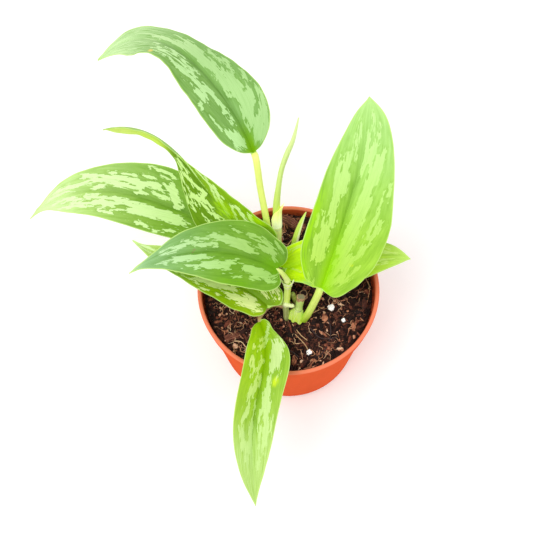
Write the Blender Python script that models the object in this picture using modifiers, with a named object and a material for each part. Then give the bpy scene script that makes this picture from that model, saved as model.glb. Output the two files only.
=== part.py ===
"""Satin pothos with eight leaves on two young shoots, in a round nursery pot.

Lengths below are millimetres and angles are degrees; MM turns them into metres.
The origin is the middle of the pot's underside, +Z is up and -Y is the front.
"""
import math
import random

import bmesh
import bpy
import numpy as np
from mathutils import Matrix, Vector

MM = 0.001
GAP = 0.3                    # clearance between pieces that touch

# Pot
RIM_RADIUS = 60.0
POT_HEIGHT = 91.0
BASE_RADIUS = 49.5
COLLAR_HEIGHT = 13.0
WALL = 1.1
FLOOR = 1.5
SIDES = 48                   # facets round the pot and the soil
DRAIN_COUNT = 8
DRAIN_RADIUS = 2.4
DRAIN_CIRCLE = 37.0

# Soil
SOIL_TOP = 82.0
ROOT_DEPTH = 22.0            # how deep each stem stands in the soil

# Leaf blades
BLADE_THICKNESS = 0.8
BLADE_ARCH = 0.12            # how much the edges sink below the fold
STATIONS = (0.08, 0.22, 0.40, 0.60, 0.80, 0.92)
BLADE_ROWS = 20
BLADE_COLUMNS = 4

TUBE_RESOLUTION = 2          # eight-sided stems

GREENS = {
    "leaf": (0.16, 0.42, 0.05),
    "petiole": (0.62, 0.80, 0.16),
    "stem": (0.42, 0.60, 0.16),
}

# One entry for each leaf.  base is where the petiole meets the blade; heading, rise,
# roll and fold are read evenly along the midrib; left and right are the half widths
# at STATIONS; lobes say how far the two rear lobes reach behind the base, and shoulders
# how far past it each edge is nearly at its first width.
LEAVES = {
    "leaf_high": dict(
        base=(-21, 58, 165), length=148, heading=(108, 129, 151, 219), rise=(-2, 14, -10, -30),
        roll=(-12, 26, -5), fold=(40, 8, 4), left=(20, 24.6, 25, 16.4, 14.6, 5.4),
        right=(19.6, 23.2, 23.5, 18.6, 11.4, 2.8),
        lobes=(0, 0), shoulders=(6, 5)),
    "leaf_curled": dict(
        base=(-17, 25, 110), length=133, heading=(158, 131, 142, 192), rise=(14, 21, 9, -8),
        roll=(-47, -77, -109), fold=(28, 22, 36), left=(19, 24, 20, 4.5, 4.6, 4.8),
        right=(19, 24, 20, 5, 2.8, 2.2),
        lobes=(7, 8), shoulders=(-2, -2)),
    "leaf_far_left": dict(
        base=(-34, 34, 95.5), length=154, heading=(158, 161, 178, 216), rise=(14, 10, -7, -32),
        roll=(6, -10, -7), fold=(15, 15, 9), left=(15, 21, 23.5, 20.7, 13.4, 3.2),
        right=(18, 24, 25, 18.4, 9.4, 1.8),
        lobes=(7, 7), shoulders=(-1.5, -1.5)),
    "leaf_left_upper": dict(
        base=(-7, 0, 121), length=99, heading=(155, 174, 189, 202), rise=(21, 5, -10, -25),
        roll=(3, 6, 1), fold=(8, 11, 12), left=(20, 23, 23, 16.5, 7, 1.8),
        right=(18.5, 24, 21.5, 15, 5.5, 1.5),
        lobes=(6, 3), shoulders=(-1.5, 0)),
    "leaf_left_lower": dict(
        base=(-13, -16, 98), length=101, heading=(135, 163, 155, 147), rise=(6, 7, 2, -6),
        roll=(3, 22, 12), fold=(17, 19, 12), left=(16.4, 20.8, 19.8, 13.2, 7.2, 2.6),
        right=(15.5, 19.5, 19, 15.5, 7, 1.8),
        lobes=(2, 5), shoulders=(1, -1)),
    "leaf_hanging": dict(
        base=(-18, -25, 94), length=121, heading=(-69, -102, -91, -83), rise=(10, -1, -20, -40),
        roll=(3, -8, 5), fold=(40, 42, 13), left=(7.5, 19.5, 19, 15.5, 8, 2.5),
        right=(10.8, 17.2, 18.2, 16.2, 9, 3.7),
        lobes=(-0.8, -2), shoulders=(4.5, 6)),
    "leaf_upright": dict(
        base=(21, -11, 115), length=124, heading=(66, 68, 75, 88), rise=(50, 42, 31, 18),
        roll=(33, 21, -5), fold=(22, 22, 6), left=(17, 25.5, 25, 21.5, 13.7, 7.4),
        right=(22, 28.2, 29.3, 23.6, 16.6, 9.6),
        lobes=(-3, 3.5), shoulders=(7, 4.5)),
    "leaf_right": dict(
        base=(-1, 8, 103), length=81, heading=(20, 0, 7, -8), rise=(8, 6, 0, -11),
        roll=(-7, 10, 7), fold=(16, 10, 10), left=(14.5, 16.3, 16.6, 12.5, 9, 4.5),
        right=(14.6, 19.2, 17, 14, 9, 4.6),
        lobes=(7, 3.5), shoulders=(-2, 0)),
}

# Each stem stands upright in the soil up to its second point and then leans: (x, y, z, radius).
STEMS = {
    "front_shoot_stem": [
        (-1.2, -18.5, SOIL_TOP, 2.0), (-1.4, -16.2, 88.0, 2.0), (-1.7, -13.6, 93.0, 2.2),
        (-1.6, -12.5, 95.0, 2.8), (-1.0, -11.0, 97.5, 2.3), (-0.5, -8.0, 104.0, 2.2),
        (-0.3, -5.2, 109.0, 2.9), (-0.1, -4.6, 110.2, 2.8)],
    "back_shoot_stem": [
        (-4.0, 17.0, SOIL_TOP, 2.7), (-4.6, 20.5, 88.0, 2.7), (-5.8, 28.0, 99.0, 2.7),
        (-6.9, 33.0, 108.0, 2.8), (-7.3, 34.9, 111.6, 3.3)],
    "old_stem": [
        (4.6, -19.2, SOIL_TOP, 2.6), (5.3, -17.8, 85.5, 2.6), (7.0, -14.0, 92.5, 2.5),
        (8.2, -10.9, 99.5, 2.5)],
    "young_sprout": [
        (2.6, 18.6, SOIL_TOP, 1.9), (3.2, 20.6, 86.0, 2.1), (4.6, 25.6, 95.0, 2.6),
        (6.6, 31.6, 106.0, 2.2), (8.8, 36.8, 115.0, 1.2), (10.1, 40.0, 122.0, 0.3)],
}

# Petioles from the stem to just under each blade's base: points (x, y, z), then two radii.
PETIOLES = {
    "leaf_high": (
        [(-11.0, 26.2, 99.0), (-12.9, 29.6, 108), (-13.9, 34.2, 119), (-17.4, 46.0, 142)], 2.4, 2.1),
    "leaf_curled": ([(-9.3, 20.8, 92.5), (-12.6, 21.0, 99), (-15.2, 23.0, 104.5)], 2.0, 1.7),
    "leaf_far_left": ([(-8.9, 19.4, 86.6), (-14.0, 22.4, 88.5), (-24.0, 28.6, 91)], 1.9, 1.7),
    "leaf_left_upper": ([(-0.7, -3.9, 111.3), (-2.0, -2.8, 115.5)], 2.0, 1.4),
    "leaf_left_lower": ([(-4.8, -13.1, 94.6), (-9.2, -14.3, 95.4)], 1.4, 1.3),
    "leaf_hanging": ([(-4.1, -14.0, 91.0), (-10.0, -12.8, 90.4), (-14.2, -15.8, 90.8)], 1.3, 1.2),
    "leaf_upright": ([(9.9, -20.5, 85.2), (12.2, -19.6, 90.6), (16.0, -15.6, 100.0)], 2.4, 2.3),
    "leaf_right": ([(-0.6, -6.0, 101.0), (-1.0, -1.0, 100.6)], 1.5, 1.4),
}

# The newest leaf, still rolled up, above the back shoot: (x, y, z, radius).
ROLLED_LEAF = [
    (-7.4, 35.2, 112.4, 2.6), (-7.7, 41.4, 126, 2.5), (-6.3, 47.6, 140, 1.9), (-4.0, 53.4, 154, 1.7),
    (-0.6, 57.2, 166, 1.8), (2.9, 60.4, 176, 1.3), (6.3, 67.3, 190, 0.3)]
AERIAL_ROOT = [(1.9, -13.2, 95.2, 1.2), (2.7, -14.0, 94.6, 1.1), (4.3, -14.4, 95.0, 0.9)]
DRIED_PETIOLE = [(6.4, -8.9, SOIL_TOP + 1.0, 1.7), (4.6, -8.2, 89, 1.8), (2.6, -6.6, 96.5, 1.5)]
DEAD_STUMP = [(10.4, -4.6, SOIL_TOP + 0.7, 2.6), (10.0, -4.0, 89.5, 2.2)]

# Loose bits on the soil: (x, y, size along, size across, size up, turn)
BARK = {
    "bark_back": (3.0, 48.4, 19.0, 7.0, 3.6, -30),
    "bark_left": (-36.5, -32.0, 10.5, 5.5, 2.6, 25),
    "bark_right": (47.0, -15.0, 6.0, 4.0, 2.4, 70),
    "bark_front": (-4.5, -46.0, 7.0, 4.0, 2.2, -40),
}
PERLITE = {
    "perlite_right": (28.3, -11.8, 4.2),
    "perlite_far_right": (36.0, -20.5, 2.6),
    "perlite_front": (13.4, -42.6, 3.4),
    "perlite_back": (-4.3, 38.7, 2.4),
}


def clear_scene():
    for thing in list(bpy.data.objects):
        bpy.data.objects.remove(thing, do_unlink=True)


def new_collection(name):
    collection = bpy.data.collections.new(name)
    bpy.context.scene.collection.children.link(collection)
    return collection


def finish_of(name, colour, roughness):
    material = bpy.data.materials.new(name)
    material.use_nodes = True
    shader = material.node_tree.nodes["Principled BSDF"]
    shader.inputs["Base Color"].default_value = (*colour, 1.0)
    shader.inputs["Roughness"].default_value = roughness
    material.diffuse_color = (*colour, 1.0)
    return material


def add_mesh_object(name, mesh, collection, material):
    piece = bpy.data.objects.new(name, mesh)
    collection.objects.link(piece)
    if material:
        mesh.materials.append(material)
    mesh.shade_smooth()
    mesh.set_sharp_from_angle(angle=math.radians(40))
    return piece


# --- smooth curves -----------------------------------------------------------------

def smooth_path(points, count):
    """Centripetal spline through the points, read at even distances along it."""
    inner = np.asarray(points, float)
    chain = np.vstack([2 * inner[0] - inner[1], inner, 2 * inner[-1] - inner[-2]])
    steps = np.linalg.norm(np.diff(chain[:, :3], axis=0), axis=1) ** 0.5
    knots = np.concatenate([[0.0], np.cumsum(steps)])
    dense = []
    for i in range(1, len(chain) - 2):
        p0, p1, p2, p3 = chain[i - 1:i + 3]
        k0, k1, k2, k3 = knots[i - 1:i + 3]
        for t in np.linspace(k1, k2, 16, endpoint=False):
            a1 = (k1 - t) / (k1 - k0) * p0 + (t - k0) / (k1 - k0) * p1
            a2 = (k2 - t) / (k2 - k1) * p1 + (t - k1) / (k2 - k1) * p2
            a3 = (k3 - t) / (k3 - k2) * p2 + (t - k2) / (k3 - k2) * p3
            b1 = (k2 - t) / (k2 - k0) * a1 + (t - k0) / (k2 - k0) * a2
            b2 = (k3 - t) / (k3 - k1) * a2 + (t - k1) / (k3 - k1) * a3
            dense.append((k2 - t) / (k2 - k1) * b1 + (t - k1) / (k2 - k1) * b2)
    dense.append(inner[-1])
    dense = np.array(dense)
    travel = np.linalg.norm(np.diff(dense[:, :3], axis=0), axis=1)
    travel = np.concatenate([[0.0], np.cumsum(travel)])
    even = np.linspace(0.0, travel[-1], count)
    return np.stack([np.interp(even, travel, column) for column in dense.T], axis=-1)


def smooth_value(values, where):
    """A smooth curve through evenly spaced values, read at 0..1 along it."""
    values = np.asarray(values, float)
    last = len(values) - 1
    place = np.clip(np.asarray(where, float), 0.0, 1.0) * last
    i = np.clip(np.floor(place).astype(int), 0, last - 1)
    f = place - i
    ends = np.concatenate([[2 * values[0] - values[1]], values, [2 * values[-1] - values[-2]]])
    a, b, c, d = ends[i], ends[i + 1], ends[i + 2], ends[i + 3]
    return 0.5 * (2 * b + (c - a) * f + (2 * a - 5 * b + 4 * c - d) * f ** 2
                  + (3 * b - a - 3 * c + d) * f ** 3)


# --- leaf blades -------------------------------------------------------------------

def midrib_frames(leaf, count=61):
    """Points along the midrib with the directions along, left of and above the blade."""
    t = np.linspace(0.0, 1.0, count)
    heading = np.radians(smooth_value(leaf["heading"], t))
    rise = np.radians(smooth_value(leaf["rise"], t))
    roll = np.radians(smooth_value(leaf["roll"], t))[:, None]
    along = np.stack([np.cos(rise) * np.cos(heading), np.cos(rise) * np.sin(heading), np.sin(rise)], -1)
    level = np.stack([-np.sin(heading), np.cos(heading), np.zeros(count)], -1)
    over = np.cross(along, level)
    step = leaf["length"] / (count - 1)
    points = np.vstack([np.zeros(3), np.cumsum((along[1:] + along[:-1]) / 2 * step, axis=0)])
    points += np.asarray(leaf["base"], float)
    left = np.cos(roll) * level + np.sin(roll) * over
    above = np.cos(roll) * over - np.sin(roll) * level
    return t * leaf["length"], points, along, left, above


def half_outline(leaf, side, count):
    """Edge of one half of the flat blade: distance along the midrib and out from it."""
    widths = leaf["left"] if side > 0 else leaf["right"]
    half = 0 if side > 0 else 1
    lobe, shoulder = leaf["lobes"][half], leaf["shoulders"][half]
    length = leaf["length"]
    points = [(0, 0), (-lobe, 0.42 * widths[0]), (shoulder, 0.82 * widths[0])]
    points += [(station * length, width) for station, width in zip(STATIONS, widths)]
    points.append((length, 0))
    return smooth_path(points, count)


def on_blade(leaf, frames, along, out, side):
    """Place a point of the flat blade in space, on its folded and arched surface."""
    distance, *axes = frames
    reach = np.clip(along, 0, leaf["length"])
    point, forward, left, above = (
        np.stack([np.interp(reach, distance, axis[:, k]) for k in range(3)], -1) for axis in axes)
    fold = np.radians(smooth_value(leaf["fold"], reach / leaf["length"]))
    widest = max(max(leaf["left"]), max(leaf["right"]))
    level = out * np.cos(fold)
    lift = out * np.sin(fold) - BLADE_ARCH * out ** 2 / widest
    return (point + forward * (along - reach)[..., None]
            + side * left * level[..., None] + above * lift[..., None])


def blade_mesh(name, leaf):
    """Open surface of a blade: rows fan out from the midrib to the edge."""
    frames = midrib_frames(leaf)
    edges = {side: half_outline(leaf, side, BLADE_ROWS) for side in (1, -1)}
    lag = sum(edge[:, 0] - 0.6 * edge[:, 1] for edge in edges.values()) / 2
    rib = np.maximum(lag, leaf["length"] * 0.012 * np.arange(BLADE_ROWS))
    rib[0], rib[-1] = 0.0, leaf["length"]
    shape = bmesh.new()
    rows = []
    for i in range(BLADE_ROWS):
        row = []
        for column in range(-BLADE_COLUMNS, BLADE_COLUMNS + 1):
            side = 1 if column > 0 else -1
            share = abs(column) / BLADE_COLUMNS
            edge_along, edge_out = edges[side][i]
            along = np.array([rib[i] + share * (edge_along - rib[i])])
            place = on_blade(leaf, frames, along, np.array([share * edge_out]), side)[0]
            row.append(shape.verts.new(Vector(place) * MM))
        rows.append(row)
    for near, far in zip(rows[:-1], rows[1:]):
        for a, b, c, d in zip(near[:-1], near[1:], far[1:], far[:-1]):
            shape.faces.new((a, b, c, d))
    bmesh.ops.remove_doubles(shape, verts=shape.verts, dist=0.01 * MM)
    bmesh.ops.dissolve_degenerate(shape, dist=0.01 * MM, edges=shape.edges)
    bmesh.ops.triangulate(shape, faces=shape.faces)
    bmesh.ops.recalc_face_normals(shape, faces=shape.faces)
    mesh = bpy.data.meshes.new(name)
    shape.to_mesh(mesh)
    shape.free()
    return mesh


def make_blade(name, leaf, collection, material):
    blade = add_mesh_object(name, blade_mesh(name, leaf), collection, material)
    skin = blade.modifiers.new("Thickness", "SOLIDIFY")
    skin.thickness = BLADE_THICKNESS * MM
    skin.offset = 0.0
    return blade


# --- stems, petioles and sheaths ---------------------------------------------------

def make_tube(name, points, count, collection, material):
    """Tapered round tube through points of (x, y, z, radius), with filled ends."""
    widest = max(point[3] for point in points)
    curve = bpy.data.curves.new(name, "CURVE")
    curve.dimensions = "3D"
    curve.bevel_depth = widest * MM
    curve.bevel_resolution = TUBE_RESOLUTION
    curve.resolution_u = 1
    curve.render_resolution_u = 0
    curve.use_fill_caps = True
    route = smooth_path(points, count)
    spline = curve.splines.new("POLY")
    spline.points.add(len(route) - 1)
    for spot, (x, y, z, radius) in zip(spline.points, route):
        spot.co = (x * MM, y * MM, z * MM, 1.0)
        spot.radius = radius / widest
    curve.materials.append(material)
    piece = bpy.data.objects.new(name, curve)
    collection.objects.link(piece)
    return piece


def rooted(points):
    """Carry a stem straight down into the soil below its first point."""
    x, y, _, radius = points[0]
    below = [(x, y, SOIL_TOP - ROOT_DEPTH, radius), (x, y, SOIL_TOP - 0.4 * ROOT_DEPTH, radius)]
    return below + points


def petiole_points(leaf, route, start_radius, end_radius):
    """Finish a petiole under the blade: its top line runs just below the midrib."""
    _, points, along, _, above = midrib_frames(leaf)
    under = points[0] - above[0] * (end_radius + BLADE_THICKNESS / 2 + GAP + 0.2)
    tail = [under - along[0] * 1.2, under + along[0] * 1.6]
    chain = [np.array(point, float) for point in route] + tail
    share = np.linspace(0, 1, len(chain))
    radii = start_radius + (end_radius - start_radius) * share
    return [(*point, radius) for point, radius in zip(chain, radii)]


def make_sheath(name, axis, radius, start, stop, tip_angle, collection, material):
    """Pointed leaf sheath: an open sleeve round an axis that narrows to one tip."""
    rows, columns, wall = 9, 10, 0.6
    route = smooth_path(axis, rows)
    shape = bmesh.new()
    grid = []
    for i, spot in enumerate(route):
        share = i / (rows - 1)
        taper = 1.0 - share ** 2.2
        row = []
        for j in range(columns + 1):
            angle = start + (stop - start) * j / columns
            angle = math.radians(tip_angle + (angle - tip_angle) * max(taper, 0.04))
            reach = radius + GAP + wall / 2 + 0.1
            flare = reach + 1.6 * share ** 2
            row.append(shape.verts.new(Vector((
                spot[0] + flare * math.cos(angle), spot[1] + flare * math.sin(angle), spot[2])) * MM))
        grid.append(row)
    for near, far in zip(grid[:-1], grid[1:]):
        for a, b, c, d in zip(near[:-1], near[1:], far[1:], far[:-1]):
            shape.faces.new((a, b, c, d))
    mesh = bpy.data.meshes.new(name)
    shape.to_mesh(mesh)
    shape.free()
    sheath = add_mesh_object(name, mesh, collection, material)
    skin = sheath.modifiers.new("Thickness", "SOLIDIFY")
    skin.thickness = wall * MM
    skin.offset = 0.0
    return sheath


# --- pot and soil ------------------------------------------------------------------

def turned(name, profile, collection, material):
    """Solid of revolution about Z; the profile runs down its outer side."""
    mesh = bpy.data.meshes.new(name)
    verts = [(radius * MM, 0.0, height * MM) for radius, height in profile]
    mesh.from_pydata(verts, [(i, i + 1) for i in range(len(verts) - 1)], [])
    piece = bpy.data.objects.new(name, mesh)
    collection.objects.link(piece)
    mesh.materials.append(material)
    screw = piece.modifiers.new("Turn", "SCREW")
    screw.steps = SIDES
    screw.render_steps = SIDES
    screw.use_merge_vertices = True
    screw.merge_threshold = 0.00002
    return piece


def quarter(centre, radius, start, stop, count=4):
    """Points of a round corner in a profile."""
    angles = [math.radians(start + (stop - start) * i / count) for i in range(count + 1)]
    return [(centre[0] + radius * math.cos(a), centre[1] + radius * math.sin(a)) for a in angles]


def pot_inside_radius(height):
    """Inside radius of the tapering wall below the collar."""
    share = height / (POT_HEIGHT - COLLAR_HEIGHT)
    return BASE_RADIUS - WALL + share * (RIM_RADIUS - 3.0 - BASE_RADIUS)


def make_pot(collection, cutters, material):
    step = POT_HEIGHT - COLLAR_HEIGHT
    shoulder = pot_inside_radius(step)
    lip = RIM_RADIUS - 1.5
    profile = [(0.0, FLOOR), (BASE_RADIUS - 4.5, FLOOR)]
    profile += quarter((BASE_RADIUS - WALL - 2.6, FLOOR + 2.6), 2.6, -60, 0, 3)
    profile += [(shoulder, step - 0.5), (RIM_RADIUS - 3.0, step + 1.6), (RIM_RADIUS - 2.8, POT_HEIGHT - 2.0)]
    profile += quarter((lip, POT_HEIGHT - 1.3), 1.3, 160, 0, 6)
    profile += [(RIM_RADIUS - 0.3, POT_HEIGHT - 3.0), (RIM_RADIUS - 1.0, step + 0.6)]
    profile += [(RIM_RADIUS - 1.4, step), (shoulder + WALL, step - 0.4)]
    profile += quarter((BASE_RADIUS - 3.0, 3.0), 3.0, 0, -90, 4)
    profile += [(0.0, 0.0)]
    pot = turned("pot", profile, collection, material)
    for i in range(DRAIN_COUNT):
        angle = 2 * math.pi * (i + 0.5) / DRAIN_COUNT
        shape = bmesh.new()
        bmesh.ops.create_cone(shape, cap_ends=True, segments=12, radius1=DRAIN_RADIUS * MM,
                              radius2=DRAIN_RADIUS * MM, depth=12 * MM)
        where = Vector((DRAIN_CIRCLE * math.cos(angle), DRAIN_CIRCLE * math.sin(angle), 0.0)) * MM
        bmesh.ops.translate(shape, verts=shape.verts, vec=where)
        cut_with(pot, shape, "drain_cutter_%d" % i, cutters)
    return pot


def cut_with(piece, shape, name, cutters):
    mesh = bpy.data.meshes.new(name)
    shape.to_mesh(mesh)
    shape.free()
    cutter = bpy.data.objects.new(name, mesh)
    cutters.objects.link(cutter)
    cutter.hide_render = True
    cutter.display_type = "WIRE"
    cut = piece.modifiers.new("Cut", "BOOLEAN")
    cut.operation = "DIFFERENCE"
    cut.solver = "EXACT"
    cut.object = cutter


def make_soil(collection, cutters, material):
    bottom = FLOOR + GAP
    side = [(pot_inside_radius(SOIL_TOP - 5.0) - GAP, SOIL_TOP - 5.0)]
    side.append((BASE_RADIUS - WALL - GAP, FLOOR + 3.0))
    profile = [(0.0, SOIL_TOP), (RIM_RADIUS - 3.2 - GAP, SOIL_TOP), (RIM_RADIUS - 3.3 - GAP, SOIL_TOP - 1.5)]
    profile += side + [(BASE_RADIUS - 5.0, bottom), (0.0, bottom)]
    soil = turned("soil", profile, collection, material)
    for name, points in STEMS.items():
        x, y, _, radius = points[0]
        shape = bmesh.new()
        bmesh.ops.create_cone(shape, cap_ends=True, segments=12, radius1=(radius + 2 * GAP) * MM,
                              radius2=(radius + 2 * GAP) * MM, depth=2 * (ROOT_DEPTH + GAP) * MM)
        bmesh.ops.translate(shape, verts=shape.verts, vec=Vector((x, y, SOIL_TOP)) * MM)
        cut_with(soil, shape, name + "_cutter", cutters)
    return soil


def make_bark(name, spot, collection, material):
    """Flat splinter of bark: a box with uneven, bevelled edges."""
    x, y, length, width, height, turn = spot
    jitter = random.Random(name)
    shape = bmesh.new()
    bmesh.ops.create_cube(shape, size=1.0)
    for vert in shape.verts:
        vert.co.x *= length * jitter.uniform(0.75, 1.0)
        vert.co.y *= width * jitter.uniform(0.65, 1.0)
        vert.co.z = (vert.co.z + 0.5) * height * jitter.uniform(0.8, 1.0)
    bmesh.ops.bevel(shape, geom=shape.edges, offset=0.5, segments=1, affect="EDGES")
    place = Matrix.Translation((x, y, SOIL_TOP + GAP)) @ Matrix.Rotation(math.radians(turn), 4, "Z")
    bmesh.ops.transform(shape, matrix=Matrix.Scale(MM, 4) @ place, verts=shape.verts)
    mesh = bpy.data.meshes.new(name)
    shape.to_mesh(mesh)
    shape.free()
    return add_mesh_object(name, mesh, collection, material)


def make_perlite(name, spot, collection, material):
    """Popped mineral grain: a dented ball that rests on the soil."""
    x, y, size = spot
    jitter = random.Random(name)
    shape = bmesh.new()
    bmesh.ops.create_icosphere(shape, subdivisions=2, radius=size / 2)
    for vert in shape.verts:
        vert.co *= jitter.uniform(0.84, 1.0)
        vert.co.z *= 0.8
    lowest = min(vert.co.z for vert in shape.verts)
    place = Matrix.Translation((x, y, SOIL_TOP + GAP - lowest))
    bmesh.ops.transform(shape, matrix=Matrix.Scale(MM, 4) @ place, verts=shape.verts)
    mesh = bpy.data.meshes.new(name)
    shape.to_mesh(mesh)
    shape.free()
    return add_mesh_object(name, mesh, collection, material)


def main():
    clear_scene()
    parts = new_collection("potted_satin_pothos")
    cutters = new_collection("cutters")
    terracotta = finish_of("terracotta_plastic", (0.78, 0.17, 0.06), 0.5)
    soil = finish_of("potting_soil", (0.06, 0.03, 0.02), 0.95)
    bark = finish_of("bark", (0.16, 0.07, 0.04), 0.9)
    perlite = finish_of("perlite", (0.85, 0.82, 0.76), 0.8)
    dead = finish_of("dried_stem", (0.20, 0.13, 0.06), 0.85)
    blade = finish_of("leaf_blade", GREENS["leaf"], 0.4)
    petiole = finish_of("petiole", GREENS["petiole"], 0.45)
    stem = finish_of("stem", GREENS["stem"], 0.5)

    make_pot(parts, cutters, terracotta)
    make_soil(parts, cutters, soil)
    for name, points in STEMS.items():
        make_tube(name, rooted(points), 16, parts, stem)
    for name, leaf in LEAVES.items():
        make_blade(name + "_blade", leaf, parts, blade)
        points = petiole_points(leaf, *PETIOLES[name])
        make_tube(name + "_petiole", points, 3 * len(points), parts, petiole)
    make_tube("rolled_new_leaf", ROLLED_LEAF, 16, parts, blade)
    make_tube("aerial_root", AERIAL_ROOT, 5, parts, petiole)
    make_tube("dried_petiole", DRIED_PETIOLE, 7, parts, dead)
    make_tube("dead_stump", DEAD_STUMP, 4, parts, dead)
    sheath_axis = [(-7.5, 36.0, 114.2), (-7.6, 37.6, 118), (-7.6, 40.6, 124), (-6.8, 43.0, 130)]
    make_sheath("new_leaf_sheath", sheath_axis, 2.9, -170, 60, -20, parts, petiole)
    clasp_axis = [(5.0, -18.4, 84.4), (5.6, -17.2, 87.4), (6.2, -15.8, 90.2), (6.8, -14.4, 92.6)]
    make_sheath("upright_leaf_sheath", clasp_axis, 2.7, -200, -70, -80, parts, petiole)
    for name, spot in BARK.items():
        make_bark(name, spot, parts, bark)
    for name, spot in PERLITE.items():
        make_perlite(name, spot, parts, perlite)


main()
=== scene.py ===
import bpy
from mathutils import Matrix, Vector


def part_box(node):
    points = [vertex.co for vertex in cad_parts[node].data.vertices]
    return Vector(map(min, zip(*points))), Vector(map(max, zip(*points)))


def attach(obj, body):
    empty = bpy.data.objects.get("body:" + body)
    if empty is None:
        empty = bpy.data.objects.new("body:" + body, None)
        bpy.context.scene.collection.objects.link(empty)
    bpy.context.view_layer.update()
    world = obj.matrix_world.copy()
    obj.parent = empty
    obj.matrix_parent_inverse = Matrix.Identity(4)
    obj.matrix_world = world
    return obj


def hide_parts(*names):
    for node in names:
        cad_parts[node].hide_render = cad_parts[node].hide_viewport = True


bl_info = {
    "name": "Satin Pothos Maker",
    "version": (1, 0, 0),
    "blender": (4, 5, 0),
    "location": "3D Viewport > Sidebar > Pothos",
    "description": "Grows a potted satin pothos: splashed leaves, stems, potting mix and nursery pot",
    "category": "Object",
}

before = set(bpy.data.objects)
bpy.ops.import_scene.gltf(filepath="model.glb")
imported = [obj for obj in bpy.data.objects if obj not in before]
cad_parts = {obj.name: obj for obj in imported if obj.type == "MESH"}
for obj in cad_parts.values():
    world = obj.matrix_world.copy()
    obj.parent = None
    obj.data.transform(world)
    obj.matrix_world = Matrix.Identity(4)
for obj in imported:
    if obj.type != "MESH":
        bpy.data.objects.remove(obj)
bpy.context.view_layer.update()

import math
import random

import bpy
import numpy as np
from mathutils import Euler, Matrix, Quaternion, Vector, noise

MM = 0.001
SAME_POINT = 0.000004        # metres; nearer points are merged
FRONT, SIDE, UP = (0, -1, 0), (1, 0, 0), (0, 0, 1)

# --- the pot, read from the frame (millimetres) --------------------------------------

POT_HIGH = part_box("pot")[1]
SOIL_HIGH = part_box("soil")[1]
RIM_RADIUS = POT_HIGH.x / MM
POT_HEIGHT = POT_HIGH.z / MM
SOIL_TOP = SOIL_HIGH.z / MM
BASE_RADIUS = 49.5           # outside, at the foot
STEP = POT_HEIGHT - 13.0     # foot of the collar
SHOULDER = RIM_RADIUS - 4.1  # inside of the wall just under the collar
WALL = 1.1
FLOOR = 1.5
ROOT_DEPTH = 22.0            # how far the stems run down inside the mix
DRAIN_COUNT = 8
DRAIN_RADIUS = 2.4
DRAIN_CIRCLE = 37.0          # radius of the ring of holes

# --- the leaves (millimetres and degrees) --------------------------------------------

STATIONS = (0.08, 0.22, 0.40, 0.60, 0.80, 0.92)         # shares of a blade's length
BLADE_ARCH = 0.12            # drop of the widest half's edge, as a share of its width
BLADE_ROWS = 150             # of the grid, along the midrib
BLADE_COLUMNS = 64           # and across it
RIB_PACE = 0.228             # least share of the midrib that the grid's rows spread over
VEIN_SLANT = 0.9             # how far side veins run ahead for each millimetre out
VEIN_CURVE = 0.018           # and how much more they do toward the edge
VEIN_SPACING = 7.5
MARGIN_WAVES = ((27, 1.0), (11, 0.5))       # length and relative height
SPLASH_REACH = 3.0           # splashes are felt this far outside themselves
END_SLOPE = 0.38             # how fast a splash deepens from its ends, against its sides
HALF_LAYOUT = 22.0           # width of a half in the layout that streaks follow
LAYOUT_SLANT = 0.14          # how far that layout slopes in toward the tip
HALVES_APART = 60.0          # keeps the streaks of the two halves from matching

# The right-half tints are partly that half's own colour and partly painted light: the half is
# painted lighter where the fold turns it toward the light and darker where it turns away.
# base is where the leaf stalk meets the blade; heading, rise, roll and fold are read
# evenly along the midrib; left and right are half widths at STATIONS; lobes reach back
# behind the base, and each edge is nearly at its first width at its shoulder.
# green and silver are the upper side's colours near the base and at the tip, and the blade
# turns from one to the other between fade_from and fade_to; right_tint_and_light and right_silver_and_light
# multiply them on the right half. warm colours the green beside the base as far as
# warm_reach, and warm_silver says how much of the silver there. lime (start, stop, strength)
# is a band of the same colour left of the midrib. Silver streaks cover the blade from
# tip_from on, the more of it the lower tip_cover is.
# Each splash is a stroke (start along, start out, end along, end out, half width): along is
# a share of the length, out is millimetres to the left of the midrib, and a negative half
# width paints the green back. Each spot is (along, out, radius, stretch along), all of one
# leaf in its spot_colour. Colours are display values of 0 to 255.
LEAF_DEFAULTS = dict(
    right_silver_and_light=(1.0, 1.0, 1.0), fade_to=0.97, warm_reach=0.20, warm_silver=0.35, lime=None,
    tip_cover=0.42, spots=())
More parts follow.
